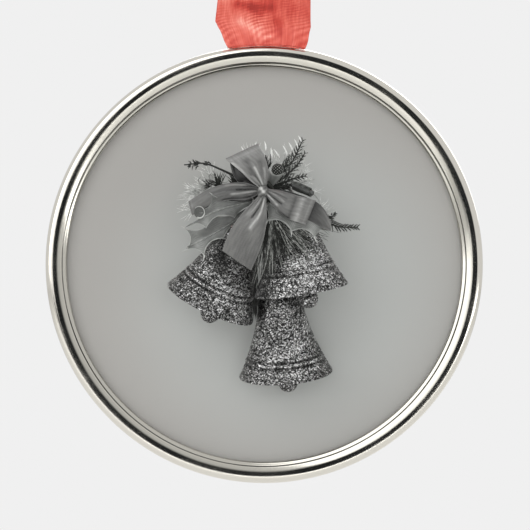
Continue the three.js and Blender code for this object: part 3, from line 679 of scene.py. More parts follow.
def bell_part(seed, groove):
    """The shell: its outer side from mouth to crown, then its inner side back down, turned round Z. The outer
    side gets its rolled lip, a pair of grooves from this height up with a rib between them, a fainter groove
    higher, scrolls, and the lumps of the glitter."""
    pair = (groove, groove + 0.9)
    rib = (groove + 0.45, 12.2)
    h = np.concatenate([np.linspace(0, TALL - SHOULDER, SIDE_ROWS), np.zeros(TOP_ROWS)])
    r = bell_side(h)
    a = np.radians(np.linspace(8, 84, TOP_ROWS))
    h[-TOP_ROWS:] = TALL - SHOULDER + SHOULDER * np.sin(a)
    r[-TOP_ROWS:] = np.maximum(NECK * np.cos(a), 0.55)
    inner_h = np.linspace(TALL - SHOULDER - 0.3, 0, 26)
    inner = np.stack([bell_side(inner_h) - WALL, inner_h], -1)
    shape = np.concatenate([np.stack([r, h], -1), [[0.55, TALL - WALL], [2.4, TALL - 1.2]], inner])
    lumps = np.random.default_rng(seed).normal(0, 0.022, (len(shape), BELL_STEPS))

    def relief(row, angle):
        """Lip, grooves, scrolls and lumps, on the outer side only."""
        up = shape[row[:, 0], 1][:, None]
        lip = 0.08 * np.exp(-(((up - 0.35) / 0.3) ** 2))
        grooves = sum(-0.2 * np.exp(-(((up - at) / 0.14) ** 2)) for at in pair)
        grooves = grooves - 0.08 * np.exp(-(((up - FAINT_GROOVE) / 0.14) ** 2))
        ribs = sum(0.1 * np.exp(-(((up - at) / 0.18) ** 2)) for at in rib)
        raised = lip + grooves + ribs + 0.1 * scrolls(up, angle) + lumps - 0.07
        return np.where(row < SIDE_ROWS + TOP_ROWS, raised, 0)

    made = turned(shape, BELL_STEPS, relief)
    # Painted light in the shade: painted shade darkens the grooves and painted highlight lightens the ribs,
    # more strongly on two sides of the bell, and the scrolls are lit and shaded.
    up = np.repeat(shape[:, 1], BELL_STEPS)
    sunk = sum(np.exp(-(((up - at) / 0.17) ** 2)) for at in pair)
    sunk = sunk + 0.35 * np.exp(-(((up - FAINT_GROOVE) / 0.17) ** 2))
    high = sum(np.exp(-(((up - at) / 0.2) ** 2)) for at in rib)
    angle = np.tile(np.linspace(0, 2 * np.pi, BELL_STEPS, endpoint=False), len(shape))
    wear_and_painted_shade = 0.7 + 0.3 * np.sin(2 * angle + 1.7 * seed)
    made["shade"] = np.clip(0.5 + wear_and_painted_shade * (0.22 * high - 0.45 * sunk) + 0.26 * scrolls(up, angle), 0, 1)
    return made


def with_painted_light(part, spots):
    """The part with each spot of [x, z, width, height, gain] added to its painted shade where it faces the
    front, as a bell curve of the distance from the spot: a positive gain is a painted highlight, a negative
    one a painted shadow."""
    p = part["points"]
    front = p[:, 1] < p[:, 1].mean()
    gains = [g * np.exp(-(((p[:, 0] - x) / w) ** 2) - ((p[:, 2] - z) / h) ** 2) for x, z, w, h, g in spots]
    return {**part, "shade": np.clip(part["shade"] + sum(gains) * front, 0, 1)}


def moved(part, turn, to):
    """The part turned by the matrix, then moved."""
    return {**part, "points": part["points"] @ turn.T + to}


def about_y(angle):
    """The matrix that turns by this angle about Y."""
    c, s = np.cos(angle), np.sin(angle)
    return np.array([[c, 0, s], [0, 1, 0], [-s, 0, c]])


def about_x(angle):
    """The matrix that turns by this angle about X."""
    c, s = np.cos(angle), np.sin(angle)
    return np.array([[1, 0, 0], [0, c, -s], [0, s, c]])


def eye_part(drop, sideways=False):
    """A closed wire eye whose middle hangs this far below the peg. Its hole looks along Y, or along X."""
    a = np.linspace(0, 2 * np.pi, 40, endpoint=False)
    flat = EYE * np.stack([np.cos(a), 0 * a, np.sin(a)], -1)
    if sideways:
        flat = flat[:, [1, 0, 2]]
    return tube(flat - [0, 0, drop], THIN, 12, closed=True, side=(1, 0, 0) if sideways else (0, 1, 0))


def straight(start, end, radius):
    """A straight wire from start to end, with four points between."""
    return tube(np.linspace(start, end, 6), radius)


# Painted light on each bell, as [x, z, width, height, gain]: painted highlights where the gain is positive,
# painted shadows where it is negative, such as under the leaf and between the bells.
painted_light_spots = {
    "left": (
        (-6.4, -4.6, 2.6, 2.6, 0.16), (-7.3, 1.6, 1.3, 2.6, -0.4),
        (-8.2, 4.2, 1.7, 1.3, -0.35), (-1.4, -3.4, 1.3, 4.0, -0.3),
    ),
    "right": ((8.3, -0.4, 3.0, 3.2, 0.25), (-0.6, -3.0, 1.6, 4.0, -0.3), (1.6, 1.5, 2.6, 3.5, -0.2)),
    "lower": ((5.4, -16.0, 2.0, 4.6, 0.2), (5.6, -6.6, 2.0, 1.3, -0.4), (-0.9, -6.0, 1.3, 3.0, -0.3)),
}
pegs = {}
# Each bell's lean and nod, its clapper's lean from there, in degrees, and the height of its lower groove.
held = (("left", 25.2, 12.7, -3, 3.4), ("right", -9, 6, -4, 3.4), ("lower", -4.6, 13, -1, 2.5))
for number, (name, lean, nod, swung, groove) in enumerate(held):
    bell = name + "_bell"
    clapper = name + "_clapper"
    joint = next(j for j in frame["joints"] if j["name"] == bell + "_swing")
    peg = np.array(joint["pos_m"]) / MM - CENTRE
    pegs[name] = peg
    turn = about_y(np.radians(lean)) @ about_x(np.radians(nod))
    shell = bell_part(number, groove)
    shell["points"] = shell["points"] - [0, 0, MOUTH_DROP]
    shell = with_painted_light(moved(shell, turn, peg), painted_light_spots[name])
    build(bell + "_glittered", shell, glitter, bell, [bell + "_shell"])
    stem = straight([0, 0, -SEAT - EYE], [0, 0, -INNER_EYE + EYE], THIN)
    hooks = [moved(part, turn, peg) for part in (eye_part(SEAT), stem, eye_part(INNER_EYE, True))]
    build(bell + "_eye_wire", hooks, steel, bell, [bell + "_crown_eye"])
    pivot = peg + turn @ [0, 0, -CLAPPER_DROP]
    turn = turn @ about_y(np.radians(swung))
    rod = straight([0, 0, -SEAT - EYE], [0, 0, -CLAPPER_REACH + 1.2], THIN)
    hook = [moved(part, turn, pivot) for part in (eye_part(SEAT), rod)]
    build(clapper + "_rod", hook, steel, clapper, [bell + "_clapper_wire"])
    grit = np.random.default_rng(20 + number).normal(0, 0.02, (36, 52))
    bob = ball([0, 0, -CLAPPER_REACH], [1.68, 1.68, 1.68], 36, 52, lambda a, b: 0.98 + grit)
    bob = moved(bob, turn, pivot)
    build(clapper + "_bob", bob, glitter, clapper, [bell + "_clapper_ball"])

    # Its hanger is one bent steel wire: a ring round the post, an arm, and a peg through the bell's eye.
    arm_depth = -peg[1] - PEG_REACH
    a = np.linspace(0, 2 * np.pi, 48, endpoint=False)
    centre = POST + [0, -arm_depth, 0]
    hoop = centre + HOOP * np.stack([np.cos(a), 0 * a, np.sin(a)], -1)
    corner = np.array([peg[0], -arm_depth, peg[2]])
    leave = centre + HOOP * unit(corner - centre)
    bend = [leave, leave + (corner - leave) * 0.5, corner - unit(corner - leave) * 0.5]
    bend += [corner + [0, -0.3, 0], peg, peg + [0, -0.85, 0]]
    wires = [tube(hoop, THIN, 12, closed=True, side=(0, 1, 0))]
    wires += [tube(curve(bend, np.linspace(0, 1, 60)), THIN, 12)]
    build(name + "_hanger_wire", wires, steel, "medallion", [name + "_hanger"])

# ---- Bow ----
# Grey satin ribbon, 6.4 mm wide, tied in a florist's bow in front of the post: puffed loops with folds that
# fan out from the knot, and flat cut tails. Each loop's ribbon goes out, turns over and comes back behind.
# The satin is streaked along its threads, and painted nearly black deep in a fold and pale on a crest:
# painted shade and painted highlight.
sheen = {"Sheen_Weight": 0.3, "Sheen_Roughness": 0.35}
grey_satin, tree, shader = new_material("grey_satin_weave", "#858583", 0.4, **sheen)
mapped = add(tree, "UVMap", {"uv_map": "surface"}).outputs[0]
drawn = add(tree, "Mapping", {3: (2.6, 0.5, 1)}, s0=mapped)
gloss = add(tree, "TexNoise", {"Scale": 1.0, "Detail": 4.0}, Vector=drawn.outputs[0])
# The shade is 0 deep in a fold and 1 out in the light.
shadow = add(tree, "Attribute", {"attribute_name": "shade"}).outputs["Fac"]
streak = add(tree, "MapRange", {1: 0.3, 2: 0.7, 3: -0.07, 4: 0.07}, s0=gloss.outputs[0])
tone = add(tree, "Math", {"operation": "ADD"}, s0=shadow, s1=streak.outputs[0])
stops = [(0.0, "#151515"), (0.3, "#434342"), (0.55, "#6d6d6b"), (0.75, "#8b8b89"), (1.0, "#c2c2bf")]
ramp = add(tree, "ValToRGB", {"stops": stops}, s0=tone.outputs[0])
link(tree, ramp.outputs[0], shader, "Base Color")
# The threads are 0.1 mm apart; they are drawn 0.4 mm apart so that they show.
warp = add(tree, "TexWave", {"bands_direction": "Y", "Scale": 2 * np.pi / 20 / 0.4}, Vector=mapped)
height = add(tree, "Math", {"operation": "MULTIPLY_ADD", 1: 0.3}, s0=warp.outputs[0], s2=gloss.outputs[0])
bump = add(tree, "Bump", {"Strength": 0.3, "Distance": 0.0001}, Height=height.outputs[0])
link(tree, bump.outputs[0], shader, "Normal")

BOW_DEPTH = -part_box("bow_knot")[0].y / MM - 1.3
LEAF_DEPTH = BOW_DEPTH - 2.0


def between(first, second, rows, columns):
    """Points in X and Z between two edges: at each row, a straight mix of the two smooth edge lines."""
    t = np.linspace(0, 1, rows)
    u = np.linspace(0, 1, columns)[None, :, None]
    return curve(first, t)[:, None] * (1 - u) + curve(second, t)[:, None] * u


def crease(t, u, t0, u0, t1, u1, width):
    """A bell curve of the distance from a line drawn on the ribbon, where a step along its length counts 1.6
    times as much as one across."""
    a, b = (t1 - t0) * 1.6, u1 - u0
    s = np.clip(((t - t0) * 1.6 * a + (u - u0) * b) / (a * a + b * b), 0, 1)
    return np.exp(-((np.hypot((t - t0) * 1.6 - s * a, u - u0 - s * b) / width) ** 2))


def bow_part(first, second, depth, base, folds, puff, back=None):
    """A length of bow ribbon between its two edge lines. Its depth is the smooth line of depths from the
    bow's own, plus a puff, the sine over its width, plus a ridge along each fold of [t0, u0, t1, u1, width,
    height]. Its shade is painted light: it runs from base[0] to base[1] along it, and each fold adds a
    painted highlight where its height is positive and painted shade where it is negative. With a back, it
    turns over at the far end and comes back that far behind, drawn in towards the knot."""
    rows, columns, turn_rows, rear_rows = 110, 61, 16, 40
    xz = between(first, second, rows, columns)
    t = np.linspace(0, 1, rows)[:, None]
    u = np.linspace(0, 1, columns)[None, :]
    swell = puff * np.sin(np.pi * u) * np.sin(np.pi * np.clip(t, 0, 0.93)) ** 0.7
    ridge = sum(crease(t, u, *f[:5]) * f[5] for f in folds)
    fine = np.sin(2 * np.pi * (5.5 * u + 0.6 * np.sin(3 * t))) * np.exp(-t / 0.3)
    d = BOW_DEPTH + curve(np.asarray(depth)[:, None], t[:, 0]) + swell + 0.6 * ridge + 0.05 * fine
    shade = base[0] + (base[1] - base[0]) * t + 0.62 * ridge + 0.06 * fine + 0 * u
    # A painted highlight along both selvedges.
    shade = shade + 0.16 * np.exp(-np.minimum(u, 1 - u) / 0.012)  # the light catches both selvedges
    if back is not None:
        drop, inward = back
        a = np.linspace(0, np.pi, turn_rows + 2)[1:-1][:, None]
        way = unit(xz[-1] - xz[-3])[None]
        turn_xz = xz[-1][None] + way * (np.sin(a) * drop / 2)[..., None]
        turn_d = d[-1][None] - drop / 2 * (1 - np.cos(a))
        s = np.linspace(1, 0.1, rear_rows)
        rear_xz = np.stack([np.interp(s, t[:, 0], xz[:, j, c]) for j in range(columns) for c in (0, 1)], -1)
        rear_xz = rear_xz.reshape(rear_rows, columns, 2)
        rear_xz = rear_xz + np.asarray(inward) * np.sin(np.pi * s)[:, None, None]
        rear_d = np.stack([np.interp(s, t[:, 0], d[:, j]) for j in range(columns)], -1)
        rear_d = rear_d - drop * ease(s * 2.2)[:, None] - 0.16
        xz = np.concatenate([xz, turn_xz, rear_xz])
        d = np.concatenate([d, turn_d, rear_d])
        # Painted shade on the turn and behind: the turn darkens as it goes back, with a dark line at its
        # outer edge, and the rear layer is painted dark.
        turned_shade = shade[-1:] * (1 - a / np.pi) ** 0.7 + 0.1
        turned_shade = turned_shade - 0.25 * np.exp(-(((a - 1.5) / 0.25) ** 2))
        shade = np.concatenate([shade, turned_shade, np.full((rear_rows, columns), 0.1)])
    return cloth(np.stack([xz[..., 0], -d, xz[..., 1]], -1), 0.16, shade=shade)


bow_pieces = {
    "bow_upper_loop": bow_part(
        [[-0.6, 12.9], [-2.0, 13.9], [-3.9, 15.7], [-5.75, 17.2]],
        [[0.3, 13.1], [0.6, 14.8], [0.5, 16.9], [-0.6, 19.5]],
        [0, 0.7, 1.0, 0.5],
        (0.5, 0.66),
        (
            (0.05, 0.04, 0.95, 0.03, 0.05, 0.35), (0.1, 0.55, 0.6, 0.5, 0.06, 0.5),
            (0.08, 0.3, 0.4, 0.22, 0.05, 0.3), (0.1, 0.8, 0.5, 0.85, 0.05, 0.25),
            (0.45, 0.3, 0.85, 0.42, 0.12, -0.34), (0.4, 0.72, 0.7, 0.78, 0.09, -0.22),
            (0.1, 0.42, 0.4, 0.36, 0.03, -0.35), (0.0, 0.0, 0.0, 1.0, 0.1, -0.2),
        ),
        0.9,
        back=(1.9, (-1.25, -1.0)),
    ),
    "bow_right_loop": bow_part(
        [[0.5, 12.75], [2.9, 12.35], [5.2, 11.7], [7.9, 11.0]],
        [[0.35, 11.7], [1.9, 9.6], [4.0, 7.8], [6.3, 7.0]],
        [0, 0.6, 0.9, 0.35],
        (0.42, 0.55),
        (
            (0.05, 0.75, 0.34, 0.8, 0.07, 0.6), (0.08, 0.3, 0.45, 0.45, 0.05, 0.35),
            (0.06, 0.55, 0.42, 0.62, 0.05, -0.45), (0.04, 0.1, 0.35, 0.12, 0.05, 0.15),
            (0.05, 0.2, 0.5, 0.28, 0.04, -0.22), (0.84, 0.1, 0.86, 0.95, 0.11, 0.4),
            (0.68, 0.1, 0.7, 0.95, 0.07, -0.25), (0.02, 0.97, 0.7, 0.98, 0.05, -0.6),
        ),
        0.85,
        back=(1.5, (0.3, 0.25)),
    ),
    "bow_left_loop": bow_part(
        [[-0.95, 13.0], [-3.0, 13.75], [-6.0, 13.7], [-9.4, 12.7], [-12.3, 11.0]],
        [[-1.1, 11.8], [-3.0, 10.9], [-5.8, 10.9], [-8.8, 10.2], [-11.7, 8.6]],
        [0, 0.5, -0.5, -1.9, -2.7],
        (0.3, 0.52),
        (
            (0.04, 0.5, 0.38, 0.66, 0.06, 0.62), (0.2, 0.14, 0.45, 0.12, 0.06, 0.35),
            (0.04, 0.34, 0.3, 0.42, 0.045, -0.45), (0.06, 0.85, 0.5, 0.92, 0.07, -0.45),
            (0.3, 0.4, 0.7, 0.35, 0.14, -0.16), (0.6, 0.2, 0.95, 0.5, 0.2, 0.1),
            (0.05, 0.12, 0.2, 0.2, 0.05, -0.3),
        ),
        0.5,
        back=(1.1, (0.1, -0.2)),
    ),
    "bow_front_tail": bow_part(
        [[-0.95, 11.5], [-3.4, 9.0], [-5.7, 5.8], [-7.1, 2.35]],
        [[0.3, 11.4], [0.42, 7.4], [-0.35, 3.4], [-2.2, -1.05]],
        [0, 0.7, 0.3, -0.5],
        (0.55, 0.5),
        (
            (0.05, 0.8, 0.5, 0.5, 0.06, 0.55), (0.05, 0.45, 0.32, 0.22, 0.06, 0.3),
            (0.05, 0.62, 0.34, 0.4, 0.035, -0.55), (0.3, 0.93, 0.9, 0.95, 0.12, -0.18),
            (0.75, 0.5, 0.98, 0.7, 0.25, -0.12), (0.1, 0.1, 0.4, 0.08, 0.06, -0.12),
        ),
        0.25,
    ),
    "bow_right_tail": bow_part(
        [[6.6, 10.9], [8.6, 10.7], [9.9, 9.6], [11.3, 7.1]],
        [[5.9, 8.0], [7.8, 7.3], [9.4, 6.4], [11.2, 5.6]],
        [-1.3, -1.25, -1.4, -1.6],
        (0.1, 0.5),
        ((0.5, 0.1, 0.95, 0.2, 0.12, 0.12), (0.6, 0.85, 1.0, 0.8, 0.1, -0.15)),
        0.25,
    ),
}
for name, part in bow_pieces.items():
    build(name + "_satin", part, grey_satin, "medallion", [name])


def knot_folds(a, b):
    """Four folds that wrap the knot from top to bottom: the radius follows the cosine of four times the
    longitude, bent by the latitude."""
    return 0.94 + 0.07 * np.cos(4 * b + 1.4 * a)


KNOT_MIDDLE = [-0.3, 12.35]  # in X and Z
knot = ball([KNOT_MIDDLE[0], -BOW_DEPTH, KNOT_MIDDLE[1]], [0.9, 1.0, 1.15], 40, 60, knot_folds)
aside = knot["points"][:, 0] - KNOT_MIDDLE[0]
high = knot["points"][:, 2] - KNOT_MIDDLE[1]
# Painted light on the knot: a painted highlight in a band across its upper left, a painted shadow at its
# lower right.
lit = 0.55 * np.exp(-(((aside + 0.9 * high - 0.15) / 0.4) ** 2))
lit = lit - 0.35 * np.exp(-(((aside - 0.5) / 0.4) ** 2) - ((high + 0.7) / 0.4) ** 2)
knot["shade"] = np.clip(0.5 + lit + 0.12 * np.sin(5 * aside - 7 * high), 0, 1)
build("bow_knot_satin", knot, grey_satin, "medallion", ["bow_knot"])

# ---- Holly ----
# Pressed artificial holly, a glossy grey leaf with a raised midrib and side veins. Its edge is a row of
# hollow scallops, and each pair of them meets in a hard spine.
coat = {"Coat_Weight": 0.25, "Coat_Roughness": 0.2}
holly, tree, shader = new_material("pressed_glossy_leaf", "#6d6f6c", 0.3, **coat)
mapped = add(tree, "UVMap", {"uv_map": "surface"}).outputs[0]  # 0 to 1 along the leaf, and -1 to 1 across it
spot = add(tree, "SeparateXYZ", Vector=mapped)
fold = add(tree, "Math", {"operation": "ABSOLUTE"}, s0=spot.outputs[0])
slanted = add(tree, "Math", {"operation": "MULTIPLY_ADD", 1: -0.45}, s0=fold.outputs[0], s2=spot.outputs[1])
waves = add(tree, "Math", {"operation": "MULTIPLY", 1: 2 * np.pi * 7}, s0=slanted.outputs[0])
vein = add(tree, "Math", {"operation": "COSINE"}, s0=waves.outputs[0])
upright = add(tree, "Math", {"operation": "ABSOLUTE"}, s0=vein.outputs[0])
fine = add(tree, "Math", {"operation": "POWER", 1: 8.0}, s0=upright.outputs[0])
where = add(tree, "TexCoord").outputs["Object"]
mottle = add(tree, "TexNoise", {"Scale": per_mm(2.2), "Detail": 5.0}, Vector=where)
shadow = add(tree, "Attribute", {"attribute_name": "shade"}).outputs["Fac"]
blotch = add(tree, "MapRange", {1: 0.3, 2: 0.7, 3: -0.16, 4: 0.16}, s0=mottle.outputs[0])
tone = add(tree, "Math", {"operation": "ADD"}, s0=shadow, s1=blotch.outputs[0])
lined = add(tree, "Math", {"operation": "MULTIPLY_ADD", 1: 0.12}, s0=fine.outputs[0], s2=tone.outputs[0])
stops = [(0.0, "#232422"), (0.5, "#717370"), (1.0, "#bdbfbb")]
ramp = add(tree, "ValToRGB", {"stops": stops}, s0=lined.outputs[0])
link(tree, ramp.outputs[0], shader, "Base Color")
bump = add(tree, "Bump", {"Strength": 0.5, "Distance": 0.0002}, Height=lined.outputs[0])
link(tree, bump.outputs[0], shader, "Normal")


def scalloped(tips, hollow, count, middle):
    """A leaf's edge from spine to spine. Each stretch bows towards the middle by hollow times its length
    times the sine of the way along it, raised to 0.8 so that the spines stay sharp. The first stretch bows
    half as far."""
    tips = np.asarray(tips, float)
    span = np.linalg.norm(np.diff(tips, axis=0), axis=1)
    t = np.linspace(0, 1, count)
    way = np.interp(t, np.concatenate([[0], np.cumsum(span)]) / span.sum(), np.arange(len(tips)))
    k = np.minimum(way.astype(int), len(tips) - 2)
    f = (way - k)[:, None]
    ahead = (tips[k + 1] - tips[k])
    normal = np.stack([ahead[:, 1], -ahead[:, 0]], -1)
    normal = normal * np.sign(np.sum(normal * (middle - tips[k] - ahead / 2), -1))[:, None]
    bow = np.where(k > 0, 1.0, 0.5)[:, None]
    return tips[k] + ahead * f + normal * bow * hollow * np.sin(np.pi * f) ** 0.8


def holly_leaf(midrib, upper, lower, lift, tone):
    """A leaf between two spined edges of [x, z] tips, on a midrib of [x, depth, z] with depths from the
    leaves' own. It rises from the midrib to each edge by that edge's lift times the distance squared, with a
    low ridge along the midrib. Its painted shade is one number at the base, one at the tip, and one added
    towards each edge, with a painted highlight along the midrib and along the rim."""
    rows, half = 220, 23
    t = np.linspace(0, 1, rows)[:, None]
    m = curve(midrib, t[:, 0]) + [0, LEAF_DEPTH, 0]
    halves = []
    for edge, turn, rise in ((upper, 1, lift[0]), (lower, -1, lift[1])):
        line = scalloped(edge, 0.24, rows, m[:, [0, 2]].mean(0))
        v = np.linspace(0, 1, half)[None, :, None]
        xz = m[:, None, [0, 2]] * (1 - v) + line[:, None] * v
        out = np.hypot(*(line - m[:, [0, 2]]).T)[:, None] * v[..., 0]
        halves.append((xz, m[:, 1:2] + rise * (out / 2.5) ** 2, v[..., 0] * turn + 0 * t))
    xz = np.concatenate([halves[0][0][:, ::-1], halves[1][0][:, 1:]], 1)
    d = np.concatenate([halves[0][1][:, ::-1], halves[1][1][:, 1:]], 1)
    v = np.concatenate([halves[0][2][:, ::-1], halves[1][2][:, 1:]], 1)
    d = d + 0.2 * np.exp(-((v / 0.08) ** 2)) + 0.12 * np.sin(11 * t + 3 * v) * np.abs(v)
    shade = tone[0] + (tone[1] - tone[0]) * t + 0.22 * np.exp(-((v / 0.06) ** 2)) * (1 - 0.5 * t)
    shade = shade + np.where(v > 0, tone[2], tone[3]) * np.sqrt(np.abs(v))
    shade = shade + 0.45 * np.exp(-(1 - np.abs(v)) / 0.05)
    return cloth(np.stack([xz[..., 0], -d, xz[..., 1]], -1), 0.18, v, t + 0 * v, shade)


def spine(base, tip, shade):
    """A hard thorn that tapers along a straight line from base to tip, with depths from the leaves' own."""
    line = (np.linspace(base, tip, 10) + [0, LEAF_DEPTH, 0]) * [1, -1, 1]
    return tube(line, np.linspace(0.15, 0.0225, 10), 8, shade=shade)


left_leaf = [
    holly_leaf(
        [[-2.0, 0.1, 10.6], [-5.4, 0.5, 9.9], [-9.0, 0.3, 8.7], [-12.6, -0.8, 6.7]],
        [[-2.0, 11.2], [-8.9, 11.9], [-10.3, 9.3], [-12.7, 6.65]],
        [[-2.2, 9.9], [-5.0, 7.9], [-9.8, 6.1], [-12.7, 6.55]],
        (0.7, -0.2),
        (0.25, 0.5, -0.1, 0.0),
    ),
    spine([-12.4, -0.8, 6.8], [-13.3, -0.4, 6.3], 0.35),
    spine([-8.6, 0.9, 11.7], [-9.3, 1.1, 12.2], 0.7),
]
# The leaf's second upper spine rolls back to the left in a small curl with a painted highlight along it, and
# a dark disc inside it is a painted shadow on the blade.
a = np.linspace(-1.9, 2.4, 70)
turns = 0.86 + 0.05 * a
curl = [-10.95 + turns * np.cos(a), -LEAF_DEPTH - 0.9 - 0.05 * a, 8.75 + 1.12 * turns * np.sin(a)]
left_leaf.append(tube(np.stack(curl, -1), 0.1 - 0.025 * a, 10, side=(0, 1, 0), shade=0.75))
disc = np.linspace(0, 1, 12)[:, None]
b = np.linspace(0, 2 * np.pi, 40)[None, :]
curl_shadow_disc = [-11.0 + 0.85 * disc * np.cos(b), -LEAF_DEPTH - 0.6 + 0 * disc * b, 8.75 + 0.92 * disc * np.sin(b)]
curl_shadow_disc = cloth(np.stack(curl_shadow_disc, -1)[:, :-1], 0.1)
curl_shadow_disc["shade"] = 0.2
left_leaf.append(curl_shadow_disc)
build("holly_leaf_left_pressed", left_leaf, holly, "medallion", ["holly_leaf_left"])

lower_leaf = [
    holly_leaf(
        [[-2.3, -1.4, 9.4], [-5.6, -1.8, 7.0], [-9.2, -2.4, 4.9], [-13.0, -3.2, 3.0]],
        [[-2.4, 10.0], [-8.6, 8.3], [-13.5, 6.2], [-13.2, 2.6]],
        [[-2.9, 8.2], [-6.9, 4.4], [-10.2, 1.3], [-13.2, 2.5]],
        (0.2, 0.4),
        (0.22, 0.5, 0.0, -0.04),
    ),
    spine([-13.2, -2.9, 6.1], [-14.1, -2.7, 6.5], 0.9),
    spine([-13.0, -2.9, 2.6], [-13.9, -2.7, 2.2], 0.95),
    spine([-10.1, -2.2, 1.5], [-10.4, -2.0, 0.5], 0.9),
]
build("holly_leaf_lower_pressed", lower_leaf, holly, "medallion", ["holly_leaf_lower"])

right_leaf = [
    holly_leaf(
        [[0.9, -0.1, 10.3], [3.6, 0.1, 8.9], [7.2, 0.1, 7.6], [11.2, -0.4, 6.1]],
        [[1.1, 10.9], [5.0, 10.4], [8.6, 9.2], [11.3, 6.2]],
        [[0.4, 9.6], [0.45, 7.2], [4.6, 5.5], [8.6, 4.4], [11.3, 6.05]],
        (0.1, 0.35),
        (0.42, 0.6, 0.0, -0.04),
    ),
    spine([0.5, 0.2, 7.4], [0.3, 0.3, 6.6], 0.9),
    spine([4.6, 0.4, 5.6], [4.6, 0.5, 4.7], 0.95),
    spine([8.5, 0.4, 4.6], [8.9, 0.5, 3.6], 0.95),
]
build("holly_leaf_right_pressed", right_leaf, holly, "medallion", ["holly_leaf_right"])

# ---- Seed cone in its bract, and the rolled bract ----
# A pointed bract folded into a V-shaped cup holds a small dark seed cone with rough scales. Beside the right
# loop a second bract is rolled into a tube, with a dark bead at its mouth.
cup_depth = -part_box("bract_cup")[0].y / MM - 1.3
t = np.linspace(0, 1, 40)[:, None]
b = np.linspace(0, 2 * np.pi, 64, endpoint=False)[None, :]
cup_radius = 0.22 + 1.25 * t**0.8
rise = t * (2.2 + 0.75 * np.cos(b) ** 2 + 0.35 * np.cos(b))
cup_axis = np.array([0.85, 12.95])
x = cup_axis[0] + 0.42 * rise + cup_radius * np.cos(b) * 0.92
z = cup_axis[1] + rise + cup_radius * np.cos(b) * -0.42
y = -cup_depth - cup_radius * np.sin(b) * 0.85
outer = np.stack([x, y, z], -1)
inner = outer.copy()
inner[..., 0] -= 0.14 * np.cos(b)
inner[..., 1] += 0.14 * np.sin(b)
cup = grid(np.concatenate([outer, inner[::-1][:-2]]), False, True, True)
# Painted light on the cup: lighter towards its rim, with a painted highlight along the rim.
cup_painted_light = 0.22 + 0.22 * t + 0.5 * np.exp(-(1 - t) / 0.06) + 0.12 * np.sin(3 * b)
cup["shade"] = np.concatenate([cup_painted_light, np.full((38, 64), 0.3)]).ravel()
build("bract_cup_folded", cup, holly, "medallion", ["bract_cup"])

# Dyed evergreen and cone scales are dark and dull. The evergreen has paler tips; on the cone a painted
# highlight lightens the raised scales.
needle, tree, shader = new_material("dark_evergreen_scale", "#2b2d2a", 0.55, Specular_IOR_Level=0.4)
where = add(tree, "TexCoord").outputs["Object"]
speck = add(tree, "TexNoise", {"Scale": per_mm(0.5), "Detail": 3.0}, Vector=where)
shadow = add(tree, "Attribute", {"attribute_name": "shade"}).outputs["Fac"]
grain = add(tree, "MapRange", {1: 0.3, 2: 0.7, 3: -0.12, 4: 0.12}, s0=speck.outputs[0])
tone = add(tree, "Math", {"operation": "ADD"}, s0=shadow, s1=grain.outputs[0])
stops = [(0.0, "#141513"), (0.5, "#40423e"), (1.0, "#c3c5c0")]
ramp = add(tree, "ValToRGB", {"stops": stops}, s0=tone.outputs[0])
link(tree, ramp.outputs[0], shader, "Base Color")


def scaly(a, b):
    """Rows of pointed scales: the radius rises with the product of two crossed spirals' sines."""
    return 0.9 + 0.16 * np.abs(np.sin(5 * b + 6 * a)) * np.abs(np.sin(5 * b - 6 * a))


CONE_CENTRE = [2.25, -cup_depth - 0.1, 16.1]
cone = ball(CONE_CENTRE, [1.02, 1.0, 0.98], 60, 90, scaly)
around = cone["points"] - CONE_CENTRE
# A painted highlight on the cone: the further a point stands out on its scales, the lighter.
cone["shade"] = np.clip((np.linalg.norm(around, axis=1) - 0.93) * 7, 0, 0.8)
build("seed_cone_scaled", cone, needle, "medallion", ["seed_cone"])

ROLL_DEPTH = LEAF_DEPTH - 0.7
LAST_TURN = 2.12 * np.pi
t = np.linspace(0, 1, 50)[:, None]
b = np.linspace(0.62 * np.pi, LAST_TURN, 60)[None, :]
r = (0.42 + 0.5 * np.sin(np.pi * (0.2 + 0.55 * t)) + 0.06 * np.sin(7 * t)) * (1 - 0.09 * b / np.pi)
x = 4.7 + 3.2 * t + 0 * b - 0.25 * np.cos(b) * t
rolled = np.stack([x, -ROLL_DEPTH - r * np.cos(b), 13.4 - 1.25 * t**1.2 + r * np.sin(b)], -1)
bract = cloth(rolled, 0.12, b / np.pi - 1 + 0 * t, t + 0 * b)
# Painted light on the roll: its inside is painted nearly black, its outside is lit and shaded round the roll,
# with a painted highlight on its last edge.
inside = 0.04 + 0 * b + 0 * t
outside = 0.6 + 0.25 * np.sin(b + 2) + 0.12 * np.sin(23 * t + 3 * b)
outside = outside + 0.3 * np.exp(-((b - LAST_TURN) ** 2) / 0.02)
bract["shade"] = np.concatenate([outside, inside], 1).ravel()
bead_end = ball([8.0, -ROLL_DEPTH, 12.1], [0.5, 0.5, 0.5], 20, 28, shade=0.02)
build("rolled_bract_tube", [bract, bead_end], holly, "medallion", ["rolled_bract"])

# ---- Sprigs ----
# Cedar twigs with overlapping scales, a bare twig, tufts of fir needles over the right bell, and fine frosted
# needles behind. Each sprig is bound to the post by its stem. A needle is a short square taper.
rng = np.random.default_rng(12)


